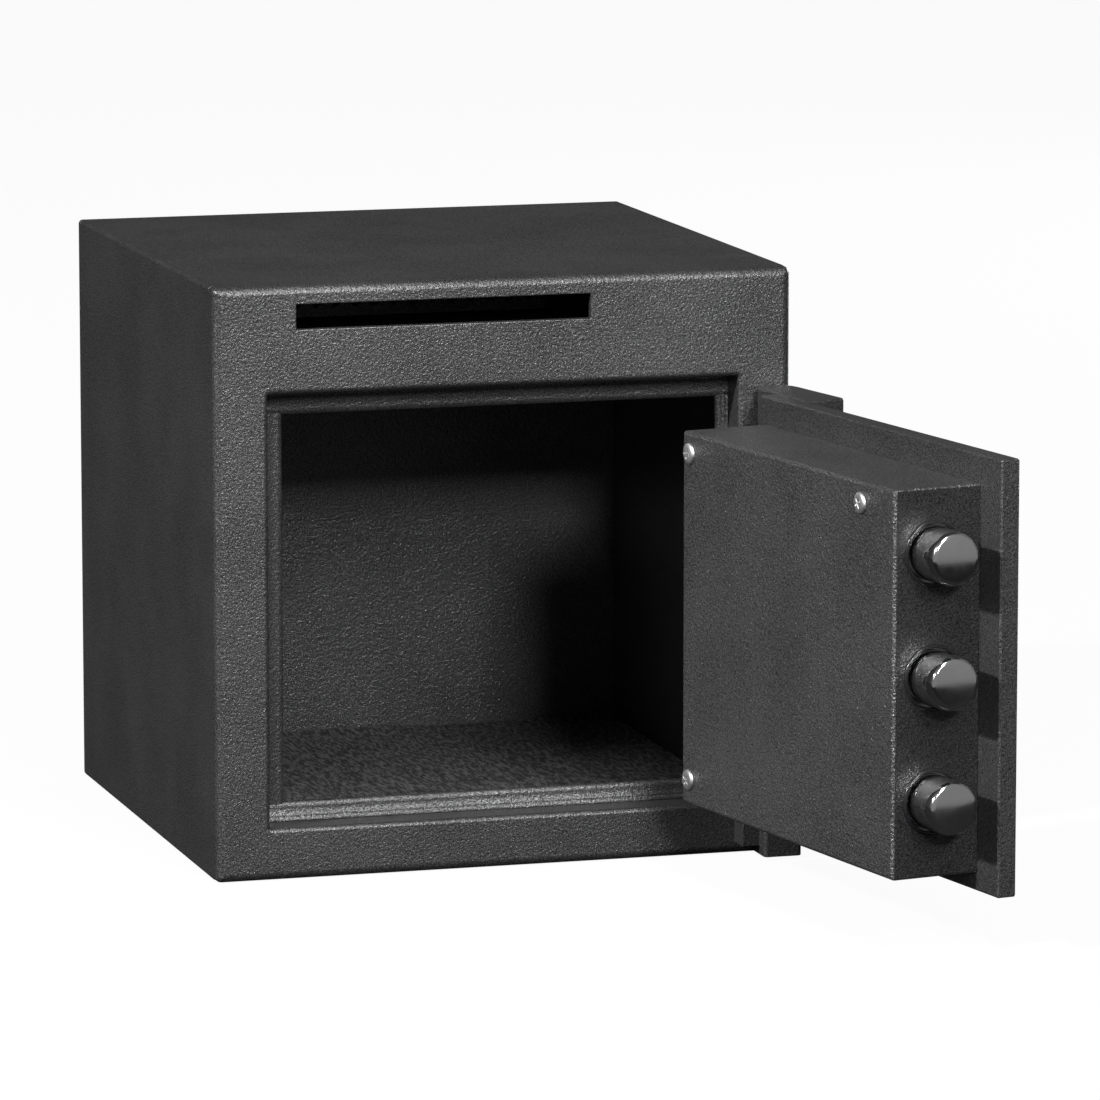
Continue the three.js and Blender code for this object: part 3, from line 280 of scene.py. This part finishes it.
def paint_shade_on_cover_side():
    """Gives the narrow side of the cover that the bolts come through a darker copy of its paint: painted shade
    where less light falls on it.
    """
    cover = nodes["lock_cover"].data
    cover.materials.append(cover_side_shaded_paint)
    outward = (DOOR_TURN.to_3x3() @ Vector((-1, 0, 0))).normalized()
    for face in cover.polygons:
        if face.normal.dot(outward) > SIDE_FACING:
            face.material_index = 1


for name in nodes:
    dress(name)
paint_shade_on_cover_side()


def add_piece(name, mesh, slot, body, material=None):
    """Makes a visible piece of a bmesh, in its slot's material unless another is given."""
    bmesh.ops.recalc_face_normals(mesh, faces=mesh.faces)
    data = bpy.data.meshes.new(name)
    mesh.to_mesh(data)
    mesh.free()
    data.polygons.foreach_set("use_smooth", [True] * len(data.polygons))
    data.set_sharp_from_angle(angle=SHARP_ANGLE)
    data.materials.append(material or SLOT_MATERIALS[slot])
    piece = bpy.data.objects.new(name, data)
    bpy.context.scene.collection.objects.link(piece)
    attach(piece, body)
    return piece


# Carpet: one loosely laid piece of needle felt with a wavy rear edge

FELT_THICK = 2.6 * MM
FELT_STEP = 2.4 * MM
FELT_ROOM = 1.5 * MM  # cut short of the space for it on each side
FELT_GAP = 0.3 * MM  # under its lowest places
FELT_LIFT = 5.0 * MM  # highest the felt stands off the board
FELT_RAGGED = 0.8 * MM  # how far its cut edges wander
FELT_NAP = 0.12  # share by which its thickness varies
RAGGED_SCALE = 70.0
NAP_SCALE = 400.0
WAVE_SCALE = (11.0, 9.0)
WAVE_SHARE = 0.45
REAR_SHARE = 0.6
REAR_START = 0.6  # how far back the rear edge begins to rise, from 0 to 1
REAR_POWER = 1.5
CURL_MEAN = 0.55
CURL_FAST, CURL_START, CURL_SLOW = 9.5, 1.2, 4.1  # waves of the rear edge, in radians across it


def wander(x, y, scale, seed):
    """A smooth random value from -1 to 1 that belongs to a place."""
    return noise.noise(Vector((x * scale, y * scale, seed)))


def felt_lift(x, y, low, high):
    """How far the felt stands off the board at a place, from 0 to 1."""
    across = (x - low.x) / (high.x - low.x)
    back = (y - low.y) / (high.y - low.y)
    wave = noise.noise(Vector((x * WAVE_SCALE[0], y * WAVE_SCALE[1], 3.7))) * 0.5 + 0.5
    ripple = math.sin(across * CURL_FAST + CURL_START) * math.cos(across * CURL_SLOW)
    curl = CURL_MEAN + (1 - CURL_MEAN) * ripple
    rear = max((back - REAR_START) / (1 - REAR_START), 0.0) ** REAR_POWER
    return min(max(WAVE_SHARE * wave * wave + REAR_SHARE * rear * curl, 0.0), 1.0)


def make_felt():
    low, high = (Vector(corner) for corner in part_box("floor_carpet"))
    x0, x1 = low.x + FELT_ROOM, high.x - FELT_ROOM
    y0, y1 = low.y + FELT_ROOM, high.y - FELT_ROOM
    columns = round((x1 - x0) / FELT_STEP)
    rows = round((y1 - y0) / FELT_STEP)
    mesh = bmesh.new()

    def point(i, j, top):
        x = x0 + (x1 - x0) * i / columns
        y = y0 + (y1 - y0) * j / rows
        ragged = FELT_RAGGED * wander(x, y, RAGGED_SCALE, 1.0)
        z = low.z + FELT_GAP + FELT_LIFT * felt_lift(x, y, low, high)
        if top:
            z += FELT_THICK * (1 + FELT_NAP * wander(x, y, NAP_SCALE, 9.0))
        x += ragged if i in (0, columns) else 0.0
        y += ragged if j in (0, rows) else 0.0
        return mesh.verts.new((x, y, z))

    bottom, upper = (
        [[point(i, j, top) for i in range(columns + 1)] for j in range(rows + 1)]
        for top in (False, True)
    )
    for j in range(rows):
        for i in range(columns):
            mesh.faces.new((upper[j][i], upper[j][i + 1], upper[j + 1][i + 1], upper[j + 1][i]))
            mesh.faces.new((bottom[j + 1][i], bottom[j + 1][i + 1], bottom[j][i + 1], bottom[j][i]))
    rims = (
        [(bottom[0][i], upper[0][i]) for i in range(columns + 1)],
        [(upper[rows][i], bottom[rows][i]) for i in range(columns + 1)],
        [(upper[j][0], bottom[j][0]) for j in range(rows + 1)],
        [(bottom[j][columns], upper[j][columns]) for j in range(rows + 1)],
    )
    for rim in rims:
        for (a, b), (c, d) in zip(rim, rim[1:]):
            mesh.faces.new((a, c, d, b))
    felt = add_piece("carpet_felt", mesh, "carpet", "safe_body")
    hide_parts("floor_carpet")


make_felt()


# Shapes for the door's own pieces


def shut_box(name):
    """Low and high corners of a CAD node of the door, seen with the door shut."""
    shut = DOOR_TURN.inverted()
    points = [shut @ vertex.co for vertex in nodes[name].data.vertices]
    low = Vector([min(point[i] for point in points) for i in range(3)])
    high = Vector([max(point[i] for point in points) for i in range(3)])
    return low, high


def lathe(mesh, profile, segments, place, closed=False):
    """Turns (along, radius) points in millimetres; place gives a point from along, across and up."""
    rings = []
    for along, radius in profile:
        ring = []
        for i in range(segments if radius > 0 else 1):
            turn = 2 * math.pi * i / segments
            across, up = radius * MM * math.cos(turn), radius * MM * math.sin(turn)
            ring.append(mesh.verts.new(place(along * MM, across, up)))
        rings.append(ring)
    following = rings[1:] + ([rings[0]] if closed else [])
    for first, second in zip(rings, following):
        for i in range(segments):
            j = (i + 1) % segments
            sides = ((first, i), (first, j), (second, j), (second, i))
            corners = (ring[k % len(ring)] for ring, k in sides)
            mesh.faces.new(list(dict.fromkeys(corners)))


# Bolts: turned bars with a long rounded nose and a slightly crowned end, sliding in black bushes

BOLT_FACE = 13.5  # radius of the end face
BOLT_CROWN = 0.5  # rise of the end face
BOLT_NOSE = 6.5  # length of the nose behind the end face
NOSE_START = 24  # where the nose's arc leaves the end face, in degrees off the axis
BOLT_REAR_CHAMFER = 1.0
BOLT_BORE = 3.3
BOLT_BORE_DEPTH = 6.7
BUSH_BORE = 16.9
BUSH_RADIUS = 19.3
BUSH_RISE = 1.2
BUSH_BODY = 17.3
BUSH_DEPTH = 2.6
TURNED_STEPS = 120
CROWN_STEPS = 10
NOSE_STEPS = 12
BUSH_STEPS = 14


def bolt_profile(radius, length):
    """Half outline of a bolt from the middle of its end face to the bottom of its screw bore."""
    shares = [k / CROWN_STEPS for k in range(CROWN_STEPS + 1)]
    profile = [(BOLT_CROWN * share ** 2, BOLT_FACE * share) for share in shares]
    for k in range(NOSE_STEPS + 1):
        turn = math.radians(NOSE_START + (90 - NOSE_START) * k / NOSE_STEPS)
        along = BOLT_CROWN + BOLT_NOSE * (1 - math.cos(turn))
        profile.append((along, BOLT_FACE + (radius - BOLT_FACE) * math.sin(turn)))
    return profile + [
        (length - BOLT_REAR_CHAMFER, radius),
        (length, radius - BOLT_REAR_CHAMFER),
        (length, BOLT_BORE),
        (length - BOLT_BORE_DEPTH, BOLT_BORE),
        (length - BOLT_BORE_DEPTH, 0),
    ]


def bush_section():
    """Closed section of a bush: a rounded collar on the cover and a short body in its hole."""
    middle = (BUSH_BORE + BUSH_RADIUS) / 2
    half = (BUSH_RADIUS - BUSH_BORE) / 2
    section = []
    for k in range(BUSH_STEPS + 1):
        turn = math.pi * k / BUSH_STEPS
        section.append((-BUSH_RISE * math.sin(turn), middle - half * math.cos(turn)))
    return section + [(0, BUSH_BODY), (BUSH_DEPTH, BUSH_BODY), (BUSH_DEPTH, BUSH_BORE)]


def along_bolt(start, axis):
    """Places turned points from a start along X, on the bolt's axis."""
    return lambda along, across, up: DOOR_TURN @ Vector((start + along, axis.y + across, axis.z + up))


def make_bolt(index):
    name = f"bolt_{index}"
    low, high = shut_box(name)
    axis = (low + high) / 2
    mesh = bmesh.new()
    profile = bolt_profile((high.z - low.z) / 2 / MM, (high.x - low.x) / MM)
    lathe(mesh, profile, TURNED_STEPS, along_bolt(low.x, axis))
    bolt = add_piece(f"turned_{name}", mesh, "chrome", "bolt_work")
    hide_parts(name)

    mesh = bmesh.new()
    cover_side = shut_box("lock_cover")[0].x
    lathe(mesh, bush_section(), TURNED_STEPS, along_bolt(cover_side, axis), closed=True)
    add_piece(f"bolt_bush_{index}", mesh, "black", "door")


for index in (1, 2, 3):
    make_bolt(index)


# Cover screws: pan heads with a cross recess

HEAD_RADIUS = 6.2
HEAD_RISE = 2.2
HEAD_SEAT = 0.3  # gap to the cover
HEAD_SIDE = 0.6  # height of the head's rim
HEAD_ROUND = 3.0  # the higher, the flatter the top and the rounder its rim
HEAD_RINGS = 36
HEAD_STEPS = 96
CROSS_HALF = 0.8  # half the width of the cross
CROSS_REACH = 3.4
CROSS_DEPTH = 1.5
CROSS_SLOPE = 0.5  # width of the recess's sloping walls
SHANK_RADIUS = 2.5
SHANK_LENGTH = 14.0
SCREW_TURNS = (12, 58, 37)  # how far each was turned home, in degrees


def cross_depth(across, up, turn):
    """How deep the cross recess is at a place on the head, in millimetres."""
    a = abs(across * math.cos(turn) + up * math.sin(turn)) / MM
    b = abs(up * math.cos(turn) - across * math.sin(turn)) / MM
    sideways = min(max((CROSS_HALF - min(a, b)) / CROSS_SLOPE, 0), 1)
    ahead = min(max((CROSS_REACH - max(a, b)) / CROSS_SLOPE, 0), 1)
    return CROSS_DEPTH * sideways * ahead


def make_screw(index, degrees):
    name = f"cover_screw_{index}"
    low, high = shut_box(name)
    centre = (low + high) / 2
    seat = shut_box("lock_cover")[1].y + HEAD_SEAT * MM
    turn = math.radians(degrees)
    profile = []
    for k in range(HEAD_RINGS + 1):
        share = k / HEAD_RINGS
        rise = HEAD_SIDE + (HEAD_RISE - HEAD_SIDE) * (1 - share ** HEAD_ROUND) ** 0.5
        profile.append((rise, HEAD_RADIUS * share))
    profile += [(0, HEAD_RADIUS), (0, SHANK_RADIUS), (-SHANK_LENGTH, SHANK_RADIUS), (-SHANK_LENGTH, 0)]

    def place(along, across, up):
        if along > HEAD_SIDE * MM:
            along -= cross_depth(across, up, turn) * MM
        return DOOR_TURN @ Vector((centre.x + across, seat + along, centre.z + up))

    mesh = bmesh.new()
    lathe(mesh, profile, HEAD_STEPS, place)
    screw = add_piece(f"pan_screw_{index}", mesh, "zinc", "door")
    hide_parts(name)


for index, degrees in enumerate(SCREW_TURNS, 1):
    make_screw(index, degrees)


# Door stops: folded strips with a rounded edge and two beads along the foot

STOPS = {"stop_header": True, "stop_sill": True, "stop_left": False, "stop_right": False}  # level ones
STOP_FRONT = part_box("front_frame")[1][1] / MM
STOP_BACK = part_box("stop_sill")[1][1] / MM
DOORWAY_MIDDLE = (Vector(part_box("stop_header")[0]) + Vector(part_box("stop_sill")[1])) / (2 * MM)
STOP_TUCK = 3.0  # behind the recess wall
STOP_SEAT = 0.3
BEADS = 2
BEAD_OUT = 0.8
BEAD_RISE = 2.4
BEAD_TURN = 2 * math.atan(BEAD_OUT / BEAD_RISE)
BEAD_RADIUS = BEAD_RISE / math.sin(BEAD_TURN)
BEAD_STEPS = 6
EDGE_RISE = 3.6
EDGE_DEPTH = 2.4
EDGE_STEPS = 12
BACK_ROUND = 0.9
BACK_STEPS = 5
EDGE_ABOVE = 1.2  # edge of a level strip beyond the CAD stop's


def stop_section(wall, inner, above):
    """Outline of a stop: depth along Y against height off the recess wall, in millimetres."""
    side = math.copysign(1, inner - wall)
    inner += side * above
    points = [
        (STOP_BACK, wall - side * STOP_TUCK),
        (STOP_FRONT, wall - side * STOP_TUCK),
        (STOP_FRONT, wall + side * STOP_SEAT),
    ]
    for i in range(BEADS):
        out = STOP_FRONT - (BEADS - i) * BEAD_OUT
        foot = STOP_SEAT + i * BEAD_RISE
        for k in range(BEAD_STEPS + 1):
            turn = BEAD_TURN * k / BEAD_STEPS
            rise = foot + BEAD_RADIUS * math.sin(turn)
            points.append((out + BEAD_RADIUS * (1 - math.cos(turn)), wall + side * rise))
    for k in range(EDGE_STEPS + 1):
        turn = math.pi / 2 * k / EDGE_STEPS
        rise = EDGE_RISE * (1 - math.sin(turn))
        points.append((STOP_FRONT + EDGE_DEPTH * (1 - math.cos(turn)), inner - side * rise))
    for k in range(1, BACK_STEPS + 1):
        turn = math.pi / 2 * k / BACK_STEPS
        rise = BACK_ROUND * (1 - math.cos(turn))
        points.append((STOP_BACK - BACK_ROUND * (1 - math.sin(turn)), inner - side * rise))
    return points


def close_bar(mesh, first, second):
    """Walls between two rings of the same number of points, and a cap on each."""
    for i in range(len(first)):
        j = (i + 1) % len(first)
        mesh.faces.new((first[i], first[j], second[j], second[i]))
    mesh.faces.new(first)
    mesh.faces.new(second)


def make_stop(name, level):
    low, high = (Vector(corner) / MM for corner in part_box(name))
    along, up = (0, 2) if level else (2, 0)
    beyond = (low[up] + high[up]) / 2 > DOORWAY_MIDDLE[up]  # above the doorway or right of it
    wall = high[up] - STOP_TUCK if beyond else low[up] + STOP_TUCK
    inner = low[up] if beyond else high[up]
    mesh = bmesh.new()
    ends = []
    for at in (low[along], high[along]):
        ring = []
        for depth, height in stop_section(wall, inner, EDGE_ABOVE if level else 0):
            point = Vector((0.0, depth, 0.0))
            point[along] = at
            point[up] = height
            ring.append(mesh.verts.new(point * MM))
        ends.append(ring)
    close_bar(mesh, *ends)
    stop = add_piece(name.replace("stop_", "strip_"), mesh, "paint", "safe_body")
    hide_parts(name)


for name, level in STOPS.items():
    make_stop(name, level)


# Dial marks: graduations and numbers on the dial's cone, index line on the ring

CONE_INNER, CONE_OUTER, CONE_DROP = 20.0, 32.0, 4.0
GRIP_LENGTH = 16.0
MARK_COUNT = 100
MARK_LENGTHS = {10: 3.6, 5: 2.8, 1: 2.0}  # by how many graduations lie between such marks
MARK_HALF = 0.16
MARK_OUTER = 31.6
MARK_THICK = 0.06
NUMBERS = 10
NUMBER_RADIUS = 23.4
NUMBER_SIZE = 4.2
NUMBER_CURVE = 4  # points on a curve of a digit
INDEX_INNER, INDEX_OUTER, INDEX_HALF = 33.6, 37.6, 0.35


def make_digits(body):
    """A plain number as a mesh, centred across and standing on its line."""
    curve = bpy.data.curves.new("digits", "FONT")
    curve.body = body
    curve.size = NUMBER_SIZE * MM
    curve.extrude = MARK_THICK * MM
    curve.align_x = "CENTER"
    curve.resolution_u = NUMBER_CURVE
    text = bpy.data.objects.new("digits", curve)
    bpy.context.scene.collection.objects.link(text)
    bpy.context.view_layer.update()
    shown = text.evaluated_get(bpy.context.evaluated_depsgraph_get())
    digits = bpy.data.meshes.new_from_object(shown)
    bpy.data.objects.remove(text)
    return digits


def add_bar(mesh, half, inner, outer, place):
    """A thin bar between two radii; place gives a point from across, radius and height."""
    corners = ((-half, inner), (half, inner), (half, outer), (-half, outer))
    rings = []
    for above in (-MARK_THICK, MARK_THICK):
        rings.append([mesh.verts.new(place(across, radius, above)) for across, radius in corners])
    close_bar(mesh, *rings)


def make_dial_marks():
    low, high = shut_box("dial_knob")
    centre = (low + high) / 2
    front = low.y / MM + GRIP_LENGTH
    mesh = bmesh.new()

    def on_cone(turn):
        def place(across, radius, above):
            drop = CONE_DROP * (radius - CONE_INNER) / (CONE_OUTER - CONE_INNER)
            x = across * math.cos(turn) + radius * math.sin(turn)
            z = radius * math.cos(turn) - across * math.sin(turn)
            return DOOR_TURN @ Vector((centre.x + x * MM, (front + drop - above) * MM, centre.z + z * MM))
        return place

    for i in range(MARK_COUNT):
        length = next(reach for every, reach in MARK_LENGTHS.items() if i % every == 0)
        add_bar(mesh, MARK_HALF, MARK_OUTER - length, MARK_OUTER, on_cone(2 * math.pi * i / MARK_COUNT))
    for i in range(NUMBERS):
        place = on_cone(2 * math.pi * i / NUMBERS)
        start = len(mesh.verts)
        mesh.from_mesh(make_digits(str(i * MARK_COUNT // NUMBERS)))
        mesh.verts.ensure_lookup_table()
        for vertex in mesh.verts[start:]:
            x, y, z = vertex.co / MM
            vertex.co = place(x, NUMBER_RADIUS + y, MARK_THICK if z > 0 else -MARK_THICK)
    add_piece("dial_marks", mesh, "zinc", "dial", dial_white)


def make_dial_index():
    low, high = shut_box("dial_knob")
    centre = (low + high) / 2
    front = shut_box("dial_ring")[0].y / MM

    def place(across, radius, above):
        return DOOR_TURN @ Vector((centre.x + across * MM, (front - above) * MM, centre.z + radius * MM))

    mesh = bmesh.new()
    add_bar(mesh, INDEX_HALF, INDEX_INNER, INDEX_OUTER, place)
    add_piece("dial_index", mesh, "black", "door")


make_dial_marks()
make_dial_index()


# Studio: pale paper, a room that metal sees dimly, and lamps

FLOOR_SIZE = 14.0
FLOOR_DROP = 0.2 * MM  # below the safe's underside
PAPER_FRONT = -0.88  # front edge of the paper, out of the picture
PAPER = 0.8  # pale to the camera
PAPER_BOUNCE = 0.12  # what it gives back to the object
PAPER_IN_METAL = 0.01  # how pale it is when seen in polished metal
PAPER_GLOW = 0.95  # share of plain white that the camera sees on it
PAPER_GLOSS = 0.01  # and that polished metal sees
ROOM_LEVEL = 0.008  # light from all around
ROOM_GLOSS = 0.22  # room in front of the safe, seen in polished metal
ROOM_GLOSS_BACK = 0.03  # and behind it
ROOM_TURN = (-0.5, 0.3)  # direction along Y where the front level ends and the back level begins
ROOM_GLOSS_LOW = 0.005  # below the room's lower edge, seen in polished metal
ROOM_EDGE = (-0.185, -0.175)  # sine of that edge's elevation
LIT_POINT = Vector((0.0, -0.15, 0.18))
LAMPS = (
    # name, azimuth, elevation, distance, width, height, power
    ("left", 71, 30, 4.5, 0.2, 0.2, 235),
    ("left_front", 50, 20, 3.0, 0.5, 0.5, 4),
    ("front", 0, 20, 3.2, 0.4, 0.3, 34),
    ("front_right", -9, 29, 3.2, 0.35, 0.6, 32),
    ("front_high", 2, 56, 3.0, 0.8, 1.0, 28),
    ("rear_right", -130, 10, 4.0, 1.5, 1.5, 80),
)


def map_range(tree, value, to_low, to_high, span=(0.0, 1.0)):
    """Spreads the span of a value evenly from to_low to to_high."""
    node = tree.nodes.new("ShaderNodeMapRange")
    settings = zip(("Value", "From Min", "From Max", "To Min", "To Max"), (value, *span, to_low, to_high))
    for key, setting in settings:
        feed(tree, node.inputs[key], setting)
    return node.outputs["Result"]


def combine(tree, operation, first, second):
    node = tree.nodes.new("ShaderNodeMath")
    node.operation = operation
    feed(tree, node.inputs[0], first)
    feed(tree, node.inputs[1], second)
    return node.outputs[0]


def seen_share(tree, to_camera, to_gloss):
    """How much of the plain white backdrop a ray sees: from the camera, by gloss or through glass."""
    path = tree.nodes.new("ShaderNodeLightPath")
    camera = combine(tree, "MULTIPLY", path.outputs["Is Camera Ray"], to_camera)
    gloss = combine(tree, "MULTIPLY", path.outputs["Is Glossy Ray"], to_gloss)
    glass = combine(tree, "MULTIPLY", path.outputs["Is Transmission Ray"], to_gloss)
    return combine(tree, "MAXIMUM", combine(tree, "MAXIMUM", camera, gloss), glass)


def floor_material():
    """Pale paper: white to the camera apart from a share of its own shading, which keeps the shadow."""
    material = bpy.data.materials.new("studio_paper")
    material.use_nodes = True
    tree = material.node_tree
    tree.nodes.clear()
    path = tree.nodes.new("ShaderNodeLightPath")
    bounce = map_range(tree, path.outputs["Is Glossy Ray"], PAPER_BOUNCE, PAPER_IN_METAL)
    tone = map_range(tree, path.outputs["Is Camera Ray"], bounce, PAPER)
    matt = tree.nodes.new("ShaderNodeBsdfDiffuse")
    glow = tree.nodes.new("ShaderNodeEmission")
    mix = tree.nodes.new("ShaderNodeMixShader")
    output = tree.nodes.new("ShaderNodeOutputMaterial")
    tree.links.new(tone, matt.inputs["Color"])
    tree.links.new(seen_share(tree, PAPER_GLOW, PAPER_GLOSS), mix.inputs["Fac"])
    tree.links.new(matt.outputs[0], mix.inputs[1])
    tree.links.new(glow.outputs[0], mix.inputs[2])
    tree.links.new(mix.outputs[0], output.inputs["Surface"])
    return material


def make_floor():
    half = FLOOR_SIZE / 2
    corners = [(-half, PAPER_FRONT, 0), (half, PAPER_FRONT, 0), (half, half, 0), (-half, half, 0)]
    mesh = bpy.data.meshes.new("studio_floor")
    mesh.from_pydata(corners, [], [(0, 1, 2, 3)])
    mesh.materials.append(floor_material())
    floor = bpy.data.objects.new("studio_floor", mesh)
    floor.location.z = -FLOOR_DROP
    bpy.context.scene.collection.objects.link(floor)


def make_world():
    """White to the camera, a dimmer room to everything else."""
    world = bpy.data.worlds.new("studio_world")
    bpy.context.scene.world = world
    world.use_nodes = True
    tree = world.node_tree
    tree.nodes.clear()
    output = tree.nodes.new("ShaderNodeOutputWorld")
    background = tree.nodes.new("ShaderNodeBackground")
    background.inputs["Color"].default_value = (1.0, 1.0, 1.0, 1.0)
    direction = tree.nodes.new("ShaderNodeSeparateXYZ")
    tree.links.new(tree.nodes.new("ShaderNodeTexCoord").outputs["Generated"], direction.inputs[0])
    around = map_range(tree, direction.outputs["Y"], ROOM_GLOSS, ROOM_GLOSS_BACK, ROOM_TURN)
    room = map_range(tree, direction.outputs["Z"], ROOM_GLOSS_LOW, around, ROOM_EDGE)
    level = map_range(tree, seen_share(tree, 1.0, room), ROOM_LEVEL, 1.0)
    tree.links.new(level, background.inputs["Strength"])
    tree.links.new(background.outputs[0], output.inputs["Surface"])


def softbox(name, azimuth, elevation, distance, width, height, power):
    """Azimuth 0 is in front of the safe and 90 on its left, in degrees; elevation is above the floor."""
    light = bpy.data.lights.new(name, "AREA")
    light.shape = "RECTANGLE"
    light.size = width
    light.size_y = height
    light.energy = power
    az, el = math.radians(azimuth), math.radians(elevation)
    away = Vector((-math.sin(az) * math.cos(el), -math.cos(az) * math.cos(el), math.sin(el)))
    lamp = bpy.data.objects.new(name, light)
    lamp.location = LIT_POINT + away * distance
    lamp.rotation_euler = away.to_track_quat("Z", "Y").to_euler()
    bpy.context.scene.collection.objects.link(lamp)


make_floor()
make_world()
for lamp in LAMPS:
    softbox(*lamp)


# Camera of the photograph

CAMERA_AT = Vector((-1.2058, -4.3718, 0.9110))
CAMERA_YAW = math.radians(16.386)  # to the right of straight ahead
CAMERA_PITCH = math.radians(9.350)  # down
FOCAL_PIXELS = 7440.6
PHOTO_PIXELS = 1100
SENSOR = 36.0
CLIP_NEAR, CLIP_FAR = 0.05, 60


def make_camera():
    data = bpy.data.cameras.new("photo_camera")
    data.sensor_width = SENSOR
    data.lens = FOCAL_PIXELS / PHOTO_PIXELS * SENSOR
    data.clip_start = CLIP_NEAR
    data.clip_end = CLIP_FAR
    camera = bpy.data.objects.new("photo_camera", data)
    camera.location = CAMERA_AT
    camera.rotation_euler = (math.pi / 2 - CAMERA_PITCH, 0, -CAMERA_YAW)
    bpy.context.scene.collection.objects.link(camera)
    bpy.context.scene.camera = camera


make_camera()
bpy.context.scene.view_settings.view_transform = "Standard"
